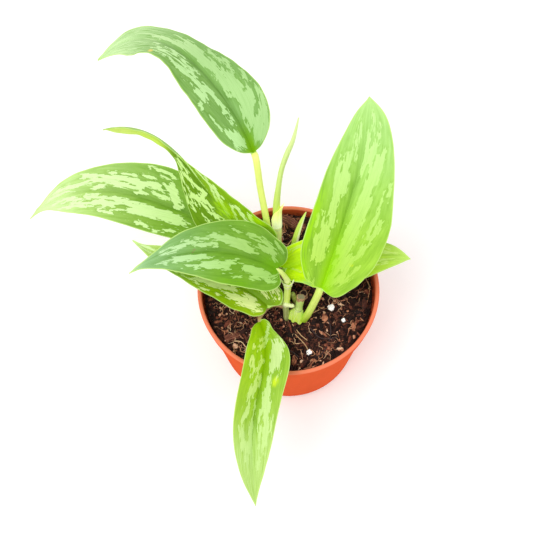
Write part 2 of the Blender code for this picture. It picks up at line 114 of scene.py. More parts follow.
LEAVES = {
    "leaf_high": dict(
        base=(-21, 58, 165), length=148, heading=(108, 129, 151, 219), rise=(-2, 14, -10, -30),
        roll=(-12, 26, -5), fold=(40, 8, 4), left=(20, 24.6, 25, 16.4, 14.6, 5.4),
        right=(19.6, 23.2, 23.5, 18.6, 11.4, 2.8),
        lobes=(0, 0), shoulders=(6, 5),
        green=((120, 166, 80), (168, 212, 134)), silver=((190, 231, 157), (229, 252, 197)),
        warm=(126, 180, 10), fade_from=0.42, right_tint_and_light=(1.14, 1.12, 1.30),
        right_silver_and_light=(0.84, 0.87, 0.79), tip_from=0.54, tip_cover=0.45,
        spots=((.66, 12.6, 2.6, 1.2),), spot_colour=(242, 218, 120), splashes=(
            (.05, 7.5, .095, 8.5, 4.2), (.08, 11.5, .12, 12.5, 1.8), (.13, 16, .155, 16.5, .8),
            (.17, 17, .215, 18.8, .7), (.255, 21.8, .285, 21.5, 1.3), (.15, 4.2, .25, 6, .9),
            (.14, 6.2, .22, 8.5, .9), (.23, 5.5, .36, 9, 2), (.30, 7, .36, 12, 1.6),
            (.30, 16.8, .35, 16.5, 2), (.31, 13.5, .35, 12, 1.2), (.36, 11.5, .49, 14.5, 1.9),
            (.36, 16.5, .42, 17.5, .8), (.46, 14.8, .52, 14, 1.1), (.42, 9, .47, 10.5, .9),
            (.44, 9, .66, 8.4, .8), (.45, 6.8, .68, 6, .6), (.42, 5.2, .64, 4.4, .5),
            (.50, 3.2, .68, 2.6, .5), (.52, 12, .64, 11, .7), (.47, 11.8, .56, 12.2, .5),
            (.05, -9, .12, -12, 4.5), (.12, -6, .22, -8, 3.2), (.04, -15, .12, -17.5, 2.6),
            (.15, -10, .35, -10, 4.5), (.30, -6, .60, -7, 3.5), (.40, -10, .58, -10.5, 2.5),
            (.10, -17, .20, -19.5, 2.5), (.20, -14, .30, -15.5, 2.2), (.22, -20.5, .27, -21, 1.2),
            (.30, -19, .34, -21.5, 1), (.36, -15, .42, -19, 1.8), (.42, -16, .50, -17, 1.5),
            (.46, -13.5, .60, -14, 1), (.60, -5, .72, -4, 1.6), (.56, -12, .66, -11.5, .8),
            (.15, -13.2, .19, -15.5, -1.3), (.19, -16.5, .28, -19.5, -1.4),
            (.28, -15, .36, -20.5, -1.1), (.355, -14.2, .41, -16.2, -.6), (.41, -11, .44, -14, -1),
            (.44, -13, .57, -15, -1.1), (.36, -9.5, .50, -11.5, -.5), (.14, -4.4, .27, -4.8, -.6),
            (.37, -3, .42, -3.8, -1), (.60, -9.5, .72, -10.5, -1.2))),
    "leaf_curled": dict(
        base=(-17, 25, 110), length=133, heading=(158, 131, 142, 192), rise=(14, 21, 9, -8),
        roll=(-47, -77, -109), fold=(28, 22, 36), left=(19, 24, 20, 4.5, 4.2, 4.2),
        right=(19, 24, 20, 4, 1.6, 1.2),
        lobes=(7, 8), shoulders=(-2, -2),
        green=((104, 148, 14), (190, 220, 80)), silver=((208, 242, 146), (226, 240, 138)),
        warm=(160, 215, 0), fade_from=0.54, fade_to=0.72, right_tint_and_light=(1.75, 1.60, 1.1),
        right_silver_and_light=(1.2, 1.15, 1.3), tip_from=0.68,
        spots=((.235, -4.5, 12.0, 1.5), (.075, -16.0, 5.5, 2.0)), spot_colour=(178, 232, 0), splashes=(
            (.28, 4, .36, 5.5, 1.5), (.30, 8, .36, 9.5, 1.1), (.33, 5.5, .40, 12, 1.6),
            (.36, 2.5, .50, 6.5, 1.3), (.34, 13, .37, 15, 1), (.38, 18.5, .42, 17, .9),
            (.38, 13, .50, 10, 1.1), (.33, 17, .35, 18, .8), (.42, 5, .52, 7, 1.2),
            (.46, 11.5, .52, 8.5, .8), (.50, 3, .58, 2, .8), (.53, 5, .57, 4, .7),
            (.22, 5, .28, 8, 1.2), (.24, 12, .28, 14, .8), (.44, 15.5, .48, 13, .6),
            (.16, -5, .22, -14, 1.3), (.22, -3, .34, -16, 2), (.10, -9, .20, -17, 1.6),
            (.05, -8, .12, -17, 1.5), (.30, -6, .40, -17, 1.4), (.30, -14, .48, -15, 1.5),
            (.44, -3, .54, -10, 1.8), (.52, -2, .60, -5, 1.2), (.38, -3, .46, -5, .8),
            (.08, 8, .18, 12, 2.2))),
    "leaf_far_left": dict(
        base=(-34, 34, 95.5), length=154, heading=(158, 161, 178, 216), rise=(14, 10, -7, -32),
        roll=(6, -10, -7), fold=(15, 15, 9), left=(15, 21, 23.5, 20.7, 13.4, 3.2),
        right=(18, 24, 25, 18.4, 9.4, 1.8),
        lobes=(7, 7), shoulders=(-1.5, -1.5),
        green=((118, 164, 44), (196, 234, 136)), silver=((203, 239, 148), (230, 252, 194)),
        warm=(112, 146, 4), fade_from=0.06, right_tint_and_light=(0.95, 0.97, 1.15),
        right_silver_and_light=(0.95, 0.96, 0.92), tip_from=0.66, splashes=(
            (.25, 16, .285, 17, 1.3), (.38, 19, .42, 18.5, 1.6), (.23, 8.5, .34, 10, 2.2),
            (.26, 6.5, .45, 9, 3.6), (.36, 11.5, .48, 12.3, 1.9), (.44, 5.6, .62, 5.8, 1.6),
            (.46, 8, .56, 8.5, 1.2), (.56, 9.5, .66, 9, 2.2), (.60, 6, .70, 5, 1.6),
            (.44, 13.2, .56, 13, .8), (.56, 16, .62, 15, 1), (.60, 13, .68, 12, .7),
            (.66, 10, .76, 8.5, 1.1), (.70, 6.5, .80, 5, 1.1), (.70, 12, .84, 8.5, .8),
            (.75, 4, .86, 3.2, .8), (.62, 3, .72, 3.2, .5), (.30, 20.5, .34, 21, .7),
            (.295, -4, .345, -12.5, 3), (.33, -4.5, .40, -4.8, 1.5), (.36, -7.5, .40, -9, 1),
            (.40, -10, .50, -8, 2.2), (.46, -5, .56, -4.6, 1.7), (.50, -9, .58, -9.2, 1.8),
            (.44, -3, .48, -2, .8), (.56, -6.5, .68, -7.5, 1.7), (.60, -9.5, .70, -10, 1.3),
            (.58, -12.8, .60, -12.8, .8), (.35, -20.5, .44, -21.3, 1.1), (.36, -17.8, .40, -18, .8),
            (.42, -14.5, .46, -14.5, .9), (.62, -3, .66, -2, 1.3), (.68, -5, .74, -4.4, 1.2),
            (.74, -4.5, .84, -3.5, 1.1), (.76, -1.6, .88, -1.2, .7), (.50, -13, .54, -13, .6),
            (.08, 8, .16, 10, 2.5), (.08, -9, .20, -14, 2.5))),
    "leaf_left_upper": dict(
        base=(-7, 0, 121), length=99, heading=(155, 174, 189, 202), rise=(21, 5, -10, -25),
        roll=(3, 6, 1), fold=(8, 11, 12), left=(20, 23, 23, 16.5, 7, 1.8),
        right=(18.5, 24, 21.5, 15, 5.5, 1.5),
        lobes=(6, 3), shoulders=(-1.5, 0),
        green=((110, 160, 38), (140, 186, 122)), silver=((171, 216, 112), (200, 235, 182)),
        warm=(112, 172, 0), lime=(0.08, 0.45, 0.8), fade_from=0.12, right_tint_and_light=(1.08, 1.02, 1.55),
        right_silver_and_light=(0.94, 0.92, 0.94), tip_from=0.84,
        spots=((.545, -1.2, 1.0, 1.1), (.555, 0.4, .8, 1.2)), spot_colour=(150, 100, 84), splashes=(
            (.04, 8.5, .10, 8.5, 3.2), (.10, 8, .19, 9, 3), (.09, 12, .135, 13.5, 1.6),
            (.0, 6, .015, 7, 1.2), (-.02, 9, .0, 10, .8), (.22, 16.5, .25, 17.8, .9),
            (.28, 7, .36, 10, 2), (.32, 11, .45, 12, 2.6), (.42, 11.5, .51, 12.5, 1.3),
            (.38, 9, .48, 9.6, 1.2), (.54, 11.7, .60, 11, 1.1), (.42, 5.2, .56, 5.2, .8),
            (.47, 5, .56, 4.6, 1.9), (.54, 5, .665, 4, 2.4), (.60, 7.5, .66, 6.5, .7),
            (.70, 3.5, .78, 3.5, .4), (.73, 5.8, .80, 3, .5), (.28, 15.5, .33, 16, .5),
            (.04, -5, .08, -8, 1.2), (.06, -8, .16, -9, 2), (.08, -11, .15, -13.5, 1.6),
            (.15, -14.5, .25, -14, 1.3), (.16, -11.5, .22, -12, 1), (.18, -4.5, .32, -6, 2.2),
            (.24, -7, .40, -9.3, 2.8), (.36, -10, .44, -10.5, 1.7), (.42, -8.2, .53, -8.8, .9),
            (.43, -4.2, .49, -4.2, 1.6), (.50, -3.4, .57, -5.8, 1.4), (.57, -8, .61, -7.8, .8),
            (.60, -4.6, .68, -3.6, 1.2), (.66, -2.2, .76, -1.8, .6), (.68, -5, .75, -4, .5),
            (.29, -15, .32, -16.5, .5), (.02, -12, .07, -15, .7))),
    # Painted light: this leaf's greens and silvers are painted lighter than its own where leaf_left_upper
    # shades it.
    "leaf_left_lower": dict(
        base=(-13, -16, 98), length=101, heading=(135, 163, 155, 147), rise=(6, 7, 2, -6),
        roll=(3, 22, 12), fold=(17, 19, 12), left=(16.4, 20.8, 19.8, 13.2, 7.2, 2.6),
        right=(15.5, 19.5, 19, 15.5, 7, 1.8),
        lobes=(2.2, 5.2), shoulders=(1, -1),
        green=((146, 184, 8), (182, 216, 112)), silver=((240, 252, 166), (224, 250, 182)),
        warm=(120, 160, 0), fade_from=0.25, right_tint_and_light=(0.92, 0.98, 0.8), tip_from=0.80, splashes=(
            (.02, 7.5, .03, 9, 1.4), (.06, 7.5, .13, 10, 3.2), (.10, 4, .16, 4.5, 1.9),
            (.14, 8.5, .25, 12, 2.8), (.24, 11, .28, 11.5, 1.6), (.16, 13.5, .17, 14.5, 1.2),
            (.24, 5, .40, 10, 2.4), (.36, 8, .47, 8, 2.7), (.28, 5.4, .42, 6.2, 1.8),
            (.33, 16.8, .36, 16.5, 1), (.40, 16.2, .44, 16.5, .9), (.48, 12, .50, 10, 1.1),
            (.52, 11.5, .60, 9.5, 1), (-.01, -6.5, .03, -6.5, .7), (.03, -7, .04, -9.5, .7),
            (.03, -10, 0, -9.6, .6), (-.02, -8.5, -.01, -7, .7), (.05, -4, .09, -4.5, 1.1),
            (.02, -12, .06, -12.6, .5), (.20, -8, .30, -10, 2), (.40, -6, .50, -8, 1.6),
            (.84, -1.5, .92, -.8, .6), (.84, 2.2, .92, 1.2, .5))),
    "leaf_hanging": dict(
        base=(-18, -25, 94), length=121, heading=(-69, -102, -91, -83), rise=(10, -1, -20, -40),
        roll=(3, -8, 5), fold=(40, 42, 13), left=(7.5, 19.5, 19, 15.5, 8, 2.5),
        right=(10.8, 17.2, 18.2, 16.2, 9, 3.7),
        lobes=(-0.8, -2), shoulders=(4.5, 6),
        green=((146, 190, 52), (166, 204, 92)), silver=((214, 238, 160), (202, 234, 144)),
        warm=(154, 196, 0), warm_reach=0.62, fade_from=0.08, fade_to=0.78, right_tint_and_light=(1.10, 1.07, 0.02),
        right_silver_and_light=(0.98, 0.97, 0.50), tip_from=0.50, tip_cover=0.43,
        spots=((.345, 11.2, 4.0, 1.2),), spot_colour=(216, 240, 40), splashes=(
            (.16, 7.5, .28, 6.5, 3), (.18, 10.5, .26, 9.5, 2.6), (.20, 12.5, .24, 12.5, 1.2),
            (.14, 12.5, .18, 14.5, .9), (.31, 14, .33, 12, .8), (.33, 5, .42, 6.5, 1.8),
            (.38, 6.5, .54, 9, 2.2), (.42, 4.5, .50, 5.5, 1.3), (.46, 9.5, .64, 9, 1.8),
            (.56, 11, .66, 9.5, 1.2), (.62, 8, .70, 7, 1.2), (.58, 5.5, .68, 4.8, 1),
            (.50, 3.8, .60, 3.2, .8), (.52, 13, .60, 12.5, .8), (.74, 4, .78, 3, 1.3),
            (.06, 4.4, .11, .5, 1.1), (.09, 2.5, .13, -4.5, 1.3), (.12, 1, .17, -5, 1.5),
            (.15, -2.5, .19, -5.5, .8), (.17, -9.5, .20, -10.5, 1.1), (.24, -10, .30, -10, 1),
            (.25, -12, .28, -12.5, .8), (.24, -3, .31, -5.5, 1.2), (.36, -4, .43, -6, 2.3),
            (.40, -7.5, .45, -9, .9), (.45, -1, .54, -1.5, 1), (.47, -6, .54, -7, 1.1),
            (.51, -8, .56, -10, 1.1), (.57, -2, .70, -2.5, 1.8), (.60, -9.5, .67, -7.5, 2.1),
            (.30, -8, .34, -9.5, .7), (.66, -5, .74, -4.5, 1), (.32, -1.6, .40, -1.8, .5))),
    # Painted light: this leaf's colours are painted brighter, standing in for light shining through the
    # blade.
    "leaf_upright": dict(
        base=(21, -11, 115), length=124, heading=(66, 68, 75, 88), rise=(50, 42, 31, 18),
        roll=(33, 21, -5), fold=(22, 22, 6), left=(17, 25.5, 25, 21.5, 13.7, 7.4),
        right=(22, 28.2, 29.3, 23.6, 16.6, 9.6),
        lobes=(-3, 3.5), shoulders=(7, 4.5),
        green=((142, 195, 44), (166, 216, 116)), silver=((193, 236, 92), (198, 240, 150)),
        warm=(160, 224, 0), warm_reach=0.50, warm_silver=0.8, lime=(0.02, 0.60, 0.8), fade_from=0.05,
        right_tint_and_light=(1.20, 1.12, 1.70), right_silver_and_light=(0.90, 0.93, 0.88), tip_from=0.84,
        spots=((.175, -12.8, 1.8, 1.0),), spot_colour=(224, 236, 30), splashes=(
            (.18, 9.5, .30, 12, 3.6), (.19, 14.5, .30, 17, 2.4), (.28, 13.5, .40, 16.5, 1.2),
            (.30, 10, .35, 12.5, 2), (.34, 20, .40, 20.5, .7), (.24, 6.5, .28, 7.5, 1),
            (.36, 9, .46, 10.5, 2.2), (.43, 11, .60, 12, 3), (.52, 9, .70, 8.6, 2.2),
            (.58, 13, .67, 13, 1.2), (.53, 6.4, .60, 6, 1.6), (.32, 3.8, .37, 5.4, .5),
            (.70, 4.5, .87, 3.8, 1), (.74, 6.4, .82, 5.6, .6), (.82, 5.4, .87, 4.6, .6),
            (.05, 12, .09, 15.5, .8), (.06, 17, .11, 19, .6), (.03, 8.5, .06, 9.5, .6),
            (.03, -2.4, .16, -2.6, 1.1), (.06, -5, .20, -7, 2.6), (.08, -9, .22, -11, 3),
            (.22, -3.6, .40, -5.6, 2.2), (.26, -6, .50, -9, 3.6), (.40, -6, .64, -9, 3.2),
            (.50, -7, .70, -10.5, 2.8), (.60, -11, .75, -12.4, 1.6), (.69, -5.5, .77, -6, 1.8),
            (.34, -19, .42, -22, 1.8), (.36, -16.5, .46, -18, 1.6), (.55, -21, .62, -21, 1.1),
            (.48, -17.5, .56, -19, 1), (.20, -14, .30, -17, 1.8), (.10, -14, .18, -17, 1.4),
            (.62, -2.2, .82, -2, 1), (.84, -4, .92, -3, 1), (.78, -8, .86, -7, .8),
            (.42, -12, .60, -14.8, -1), (.24, -12.5, .40, -14.5, -1), (.09, -6.5, .12, -7.5, -.7))),
    # Painted light: the green near the base is painted lighter where leaf_left_upper and leaf_upright shade
    # it, and brighter, standing in for light shining through the blade.
    "leaf_right": dict(
        base=(-1, 8, 103), length=81, heading=(20, 0, 7, -8), rise=(8, 6, 0, -11),
        roll=(-7, 10, 7), fold=(16, 10, 10), left=(14.5, 16.3, 16.6, 12.5, 9, 4.5),
        right=(14.6, 19.2, 17, 14, 9, 4.6),
        lobes=(7, 3.5), shoulders=(-2, 0),
        green=((200, 243, 0), (180, 222, 84)), silver=((210, 242, 104), (214, 247, 124)),
        warm=(196, 244, 0), fade_from=0.20, right_tint_and_light=(1.0, 1.0, 0.8), tip_from=0.80,
        spots=((.12, -16.5, 5.5, 2.6),), spot_colour=(160, 208, 108), splashes=(
            (.10, 11, .22, 14, .8), (.16, 6, .24, 8, 1.2), (.05, -2.5, .09, -5, .5),
            (.30, -6, .40, -8, 1.4), (.70, 3, .88, 2, .8),
            (.72, -3, .86, -2.2, .7), (.74, 6, .82, 5, .5), (.70, -6, .80, -5, .6))),
}

# Points of (x, y, z, radius) up each stem, from inside the potting mix.
STEMS = {
    "front_shoot_stem": [
        (-1.2, -18.5, SOIL_TOP, 2.0), (-1.4, -16.2, 88.0, 2.0), (-1.7, -13.6, 93.0, 2.2),
        (-1.6, -12.5, 95.0, 2.5), (-1.0, -11.0, 97.5, 2.3), (-0.5, -8.0, 104.0, 2.2),
        (-0.3, -5.2, 109.0, 2.6), (-0.1, -4.6, 110.2, 2.5)],
    "back_shoot_stem": [
        (-5.4, 17.0, SOIL_TOP, 2.3), (-6.0, 20.5, 88.0, 2.3), (-6.8, 28.0, 99.0, 2.5),
        (-6.9, 33.0, 108.0, 2.8), (-7.3, 34.9, 111.6, 3.0)],
    "old_stem": [
        (4.6, -19.2, SOIL_TOP, 2.6), (5.3, -17.8, 85.5, 2.6), (7.0, -14.0, 92.5, 2.5),
        (8.2, -10.9, 99.5, 2.6)],
}
# Swollen rings at the nodes of each stem: (height, swelling, half width).
RINGS = {
    "front_shoot_stem": [(94.6, .5, 1.1), (108.4, .5, 1.0)],
    "back_shoot_stem": [(98.0, .3, .8), (111.0, .5, .9)],
    "old_stem": [(91.0, .35, .8)],
}
RING_COLOUR = (236, 240, 196)
# Colours low and high on each stem and of its stripes, and the heights between which low
# turns to high.
STEM_TONES = {
    # Painted shade and light: the front shoot's low colour is darker, partly its own grey-green and partly
    # painted shade under the leaves, and its high colour is painted lighter where the leaves shade it.
    "front_shoot_stem": ((156, 166, 96), (214, 240, 96), (242, 248, 176), 92, 99),
    "back_shoot_stem": ((226, 244, 130), (252, 254, 170), (244, 252, 150), 88, 100),
    "old_stem": ((214, 238, 140), (204, 230, 126), (168, 198, 104), 88, 97),
}
SPROUT = [
    (1.8, 18.6, SOIL_TOP - 3, 1.9), (2.3, 20.6, 86.0, 2.2), (3.7, 25.6, 95.0, 2.7),
    (6.0, 31.6, 106.0, 2.3), (9.0, 36.6, 115.0, 1.4), (11.6, 39.6, 121.6, 0.2)]
ROLLED_LEAF = [
    (-7.4, 35.2, 112.4, 2.6), (-7.7, 41.4, 126, 2.5), (-6.3, 47.6, 140, 1.9), (-4.0, 53.4, 154, 1.7),
    (-0.6, 57.2, 166, 1.8), (2.9, 60.4, 176, 1.3), (6.3, 67.3, 190, 0.2)]
NEW_SHEATH = [
    (-7.3, 35.0, 111.6, 3.1), (-7.6, 37.6, 118, 3.2), (-7.6, 40.6, 124, 3.5), (-6.8, 43.0, 130, 4.6)]
# Papery collars, from the torn and flared end to the clean one
CLASP = [(5.2, -18.9, 83.2, 4.2), (5.7, -17.8, 86.0, 3.8), (6.3, -16.5, 88.9, 3.2), (6.7, -15.5, 91.2, 2.8)]
NODE_CUP = [(-0.4, -4.4, 112.2, 2.8), (-0.3, -4.8, 110.8, 2.75), (-0.3, -5.2, 109.4, 2.7)]
AERIAL_ROOT = [
    (-3.0, -13.8, 97.0, 1.3), (-1.6, -14.6, 96.6, 1.6), (0.6, -15.0, 96.2, 1.4), (2.4, -15.2, 95.8, 1.35),
    (3.8, -14.7, 96.5, 1.2)]
DRIED_PETIOLE = [(6.4, -8.9, SOIL_TOP - 2, 1.7), (4.6, -8.2, 89, 1.8), (2.6, -6.6, 96.5, 1.6)]
DEAD_STUMP = [(10.4, -4.6, SOIL_TOP - 2, 2.7), (10.3, -4.4, 86, 2.6), (10.0, -4.0, 90.0, 2.5)]
OLD_STEM_END = [(7.85, -11.8, 97.5, 2.6), (8.3, -10.6, 100.4, 2.7)]
# Ends of stubs: (share up the stub, share of its radius), up the wall, over the rim and inward.
HOLLOW = (
    (0.0, 0.0), (0.0, 1.0), (0.5, 1.0), (0.8, 1.04), (1.0, 1.0), (1.0, 0.82), (0.86, 0.66), (0.74, 0.4),
    (0.70, 0.0))
SNAPPED = (
    (0.0, 0.0), (0.0, 1.0), (0.4, 1.0), (0.7, 1.02), (0.94, 1.0), (1.0, 0.86), (0.96, 0.6), (0.9, 0.3),
    (0.88, 0.0))

# Leaf stalks from the stem to the blade: points (x, y, z), then the two radii, and how far
# short of the blade's base the stalk turns into line with its midrib.
PETIOLES = {
    "leaf_high": (
        [(-10.0, 24.2, 96.0), (-11.0, 26.2, 99.0), (-12.9, 29.6, 108), (-13.9, 34.2, 119),
         (-17.4, 46.0, 142)], 2.4, 2.1, 3.0),
    "leaf_curled": (
        [(-6.6, 21.0, 89.5), (-9.3, 20.8, 92.5), (-12.6, 21.0, 99), (-15.2, 23.0, 104.5)], 2.0, 1.7, 3.0),
    "leaf_far_left": (
        [(-5.4, 18.6, 85.6), (-8.9, 19.4, 86.6), (-14.0, 22.4, 88.5), (-24.0, 28.6, 91)], 1.9, 1.7, 3.0),
    "leaf_left_upper": ([(-0.2, -4.8, 109.6), (-0.6, -4.2, 111.2), (-2.3, -2.6, 115.0)], 2.7, 1.4, 3.0),
    "leaf_left_lower": ([(-1.8, -12.6, 94.2), (-4.8, -13.1, 94.6), (-9.2, -13.9, 95.4)], 1.4, 1.2, 0.4),
    "leaf_hanging": (
        [(-1.6, -14.4, 91.2), (-5.0, -13.2, 90.8), (-10.0, -12.8, 90.4), (-14.2, -15.8, 90.8)],
        1.3, 1.2, 2.0),
    "leaf_upright": (
        [(9.2, -20.9, 83.6), (10.2, -20.6, 85.6), (12.2, -19.6, 90.6), (16.0, -15.6, 100.0)],
        2.4, 2.4, 3.0),
    "leaf_right": ([(-0.6, -7.4, 101.4), (-0.6, -6.0, 101.0), (-1.0, -1.0, 100.6)], 1.5, 1.4, 3.0),
}

# Tones of the young growth and the dry parts, as for the stems, with the free edge or the
# stripes third.
ROLLED_LEAF_TONES = ((218, 242, 112), (228, 250, 168), (246, 252, 210), 118, 180)
SPROUT_TONES = ((196, 230, 64), (222, 248, 112), (252, 255, 196), 84, 120)
# Painted light: the new sheath's tones are painted lighter than its own colour where the leaves shade it,
# and the sheath glows as well.
NEW_SHEATH_TONES = ((254, 255, 214), (250, 254, 138), (254, 255, 216), 113, 124)
CLASP_TONES = ((204, 242, 66), (212, 244, 100), (252, 255, 214), 84, 92)
NODE_CUP_TONES = ((236, 244, 170), (244, 250, 196), (254, 254, 226), 109, 112)
AERIAL_ROOT_TONES = ((214, 232, 130), (236, 246, 176), (246, 248, 206), 93, 97)
DRIED_TONES = ((128, 122, 40), (178, 196, 70), (236, 238, 180), 84, 92)
# Tones of leaf stalks, as for the stems; a leaf that STALKS_OF doesn't name has a green stalk.
STALK_TONES = {
    "bright": ((242, 254, 120), (246, 255, 136), (222, 246, 100), 95, 160),
    "soft": ((186, 230, 50), (232, 250, 128), (176, 220, 60), 84, 104),
    "green": ((196, 228, 104), (186, 226, 80), (160, 200, 74), 86, 100),
    "cream": ((238, 246, 168), (226, 244, 120), (248, 250, 206), 108, 118),
    "tan": ((206, 160, 116), (190, 168, 96), (226, 190, 140), 88, 96),
}
STALKS_OF = {
    "leaf_high": "bright", "leaf_curled": "bright", "leaf_upright": "soft", "leaf_left_upper": "cream",
    "leaf_hanging": "tan",
}

# --- the potting mix (millimetres) ----------------------------------------------------

HEAP_HEIGHT, HEAP_MIDDLE, HEAP_REACH = 2.8, 5.0, 20.0       # the heap at the back, along X
HEAP_START, HEAP_RISE = 34.0, 12.0                          # and from where it rises along Y
BED_LUMPS = ((21.0, 0.7, 3.1), (6.0, 0.5, 7.7), (2.2, 0.28, 1.3))      # size, share of relief, seed
CRUMB_SHAPES = (
    (1.0, 0.8, 0.6), (2.0, 0.5, 0.35), (0.9, 0.9, 0.7), (3.0, 0.4, 0.3), (1.2, 1.0, 0.5),
    (2.4, 0.8, 0.25), (1.0, 0.7, 0.8), (1.8, 0.6, 0.4))
CLOD_SHAPES = ((1.0, 0.9, 0.6), (1.5, 0.7, 0.5), (1.1, 1.0, 0.8), (1.9, 0.8, 0.5))
# From dark to light: the light end here and in COIR_TONES is partly the paler bits' own colour, partly
# painted highlights on crumbs and fibres.
CRUMB_TONES = (
    (0.0, (20, 10, 8)), (0.35, (58, 30, 24)), (0.60, (128, 68, 48)), (0.82, (206, 138, 102)),
    (1.0, (250, 210, 176)))
COIR_TONES = ((0.0, (60, 32, 24)), (0.4, (156, 96, 68)), (0.7, (220, 162, 120)), (1.0, (248, 210, 168)))
# Roots and straw: tones and radius, then the routes (x, y) over the mix.
LAID = {
    "black_root": (((0.0, (34, 24, 26)), (1.0, (84, 66, 64))), 0.36, [
        ((25.0, -17.0), (27.5, -25.0), (27.0, -33.0), (23.5, -41.0), (18.0, -47.0)),
        ((14.0, -26.0), (20.0, -32.5), (27.0, -33.5), (33.0, -31.0)),
        ((-14.0, -38.0), (-7.0, -42.0), (1.0, -41.5), (7.0, -46.0))]),
    "straw": (((0.0, (132, 88, 56)), (1.0, (226, 184, 134))), 0.30, [
        ((-36.0, -38.0), (-34.0, -44.0)), ((-45.0, -14.0), (-41.0, -8.0)),
        ((50.0, 12.0), (54.0, 3.0), (52.5, -6.0)), ((44.0, 14.5), (51.0, 16.5)),
        ((16.0, -15.5), (24.0, -11.0)), ((4.0, -30.0), (11.0, -38.0), (14.0, -44.0)),
        ((2.0, -22.0), (8.0, -31.0), (12.5, -35.0)), ((-2.0, 31.0), (4.0, 38.0), (6.0, 30.0))]),
}
BARK_SINK = 0.9              # how deep a chip sits in the mix
# Loose bits: (x, y, size along, size across, size up, turn), and (x, y, size).
BARK = {
    "bark_back": (3.0, 48.4, 19.0, 7.0, 3.6, -30),
    "bark_left": (-36.5, -32.0, 10.5, 5.5, 2.6, 25),
    "bark_right": (47.0, -15.0, 6.0, 4.0, 2.4, 70),
    "bark_front": (-4.5, -46.0, 7.0, 4.0, 2.2, -40),
}
PERLITE = {
    "perlite_right": (28.3, -11.8, 4.2),
    "perlite_far_right": (36.0, -20.5, 2.6),
    "perlite_front": (13.4, -42.6, 3.4),
    "perlite_back": (-4.3, 38.7, 2.4),
}


# --- what a user may change -----------------------------------------------------------

class PlantSettings(bpy.types.PropertyGroup):
    rib_depth: bpy.props.FloatProperty(
        name="Rib Depth", description="Thickness of a blade at its midrib",
        default=0.0017, unit="LENGTH")
    groove: bpy.props.FloatProperty(
        name="Groove", description="Depth of the channel over the midrib",
        default=0.0005, unit="LENGTH")
    quilting: bpy.props.FloatProperty(
        name="Quilting", description="Height of the blade between its side veins",
        default=0.00022, unit="LENGTH")
    margin_wave: bpy.props.FloatProperty(
        name="Margin Wave", description="How far the blade's edge waves up and down",
        default=0.0003, unit="LENGTH")
    margin_colour: bpy.props.FloatVectorProperty(
        name="Margin", description="Thin line round each blade",
        default=(0.62, 0.86, 0.24), subtype="COLOR", size=3)


class PotSettings(bpy.types.PropertyGroup):
    wall_colour: bpy.props.FloatVectorProperty(
        name="Wall", description="Moulded wall of the pot",
        default=(0.78, 0.120, 0.040), subtype="COLOR", size=3)
    # Painted highlight: the top of the rolled lip is paler where light falls on it from above; scuffs get a
    # paler tint of the same colour.
    lip_colour: bpy.props.FloatVectorProperty(
        name="Lip", description="Worn top of the rim",
        default=(0.87, 0.23, 0.12), subtype="COLOR", size=3)
    steps: bpy.props.IntProperty(
        name="Steps", description="Facets round the pot", default=128, min=24)


class MixSettings(bpy.types.PropertyGroup):
    crumbs: bpy.props.IntProperty(name="Crumbs", description="Loose crumbs on the mix", default=2600)
    clods: bpy.props.IntProperty(name="Clods", description="Bigger lumps in the mix", default=210)
    fibres: bpy.props.IntProperty(name="Fibres", description="Coir fibres on the mix", default=900)
    relief: bpy.props.FloatProperty(
        name="Relief", description="Height of the mix's bumps", default=0.0024, unit="LENGTH")


class StageSettings(bpy.types.PropertyGroup):
    floor_colour: bpy.props.FloatVectorProperty(
        name="Floor", description="Plain floor", default=(0.95, 0.95, 0.95), subtype="COLOR", size=3)
    floor_glow: bpy.props.FloatProperty(
        name="Floor Glow", description="Light that the floor gives of itself, like a lit table",
        default=0.14)
    sky: bpy.props.FloatProperty(
        name="Sky", description="Strength of the light all round", default=0.72)
    lens: bpy.props.FloatProperty(
        name="Lens", description="Focal length", default=61.7, subtype="DISTANCE_CAMERA")


# --- shader maths ---------------------------------------------------------------------

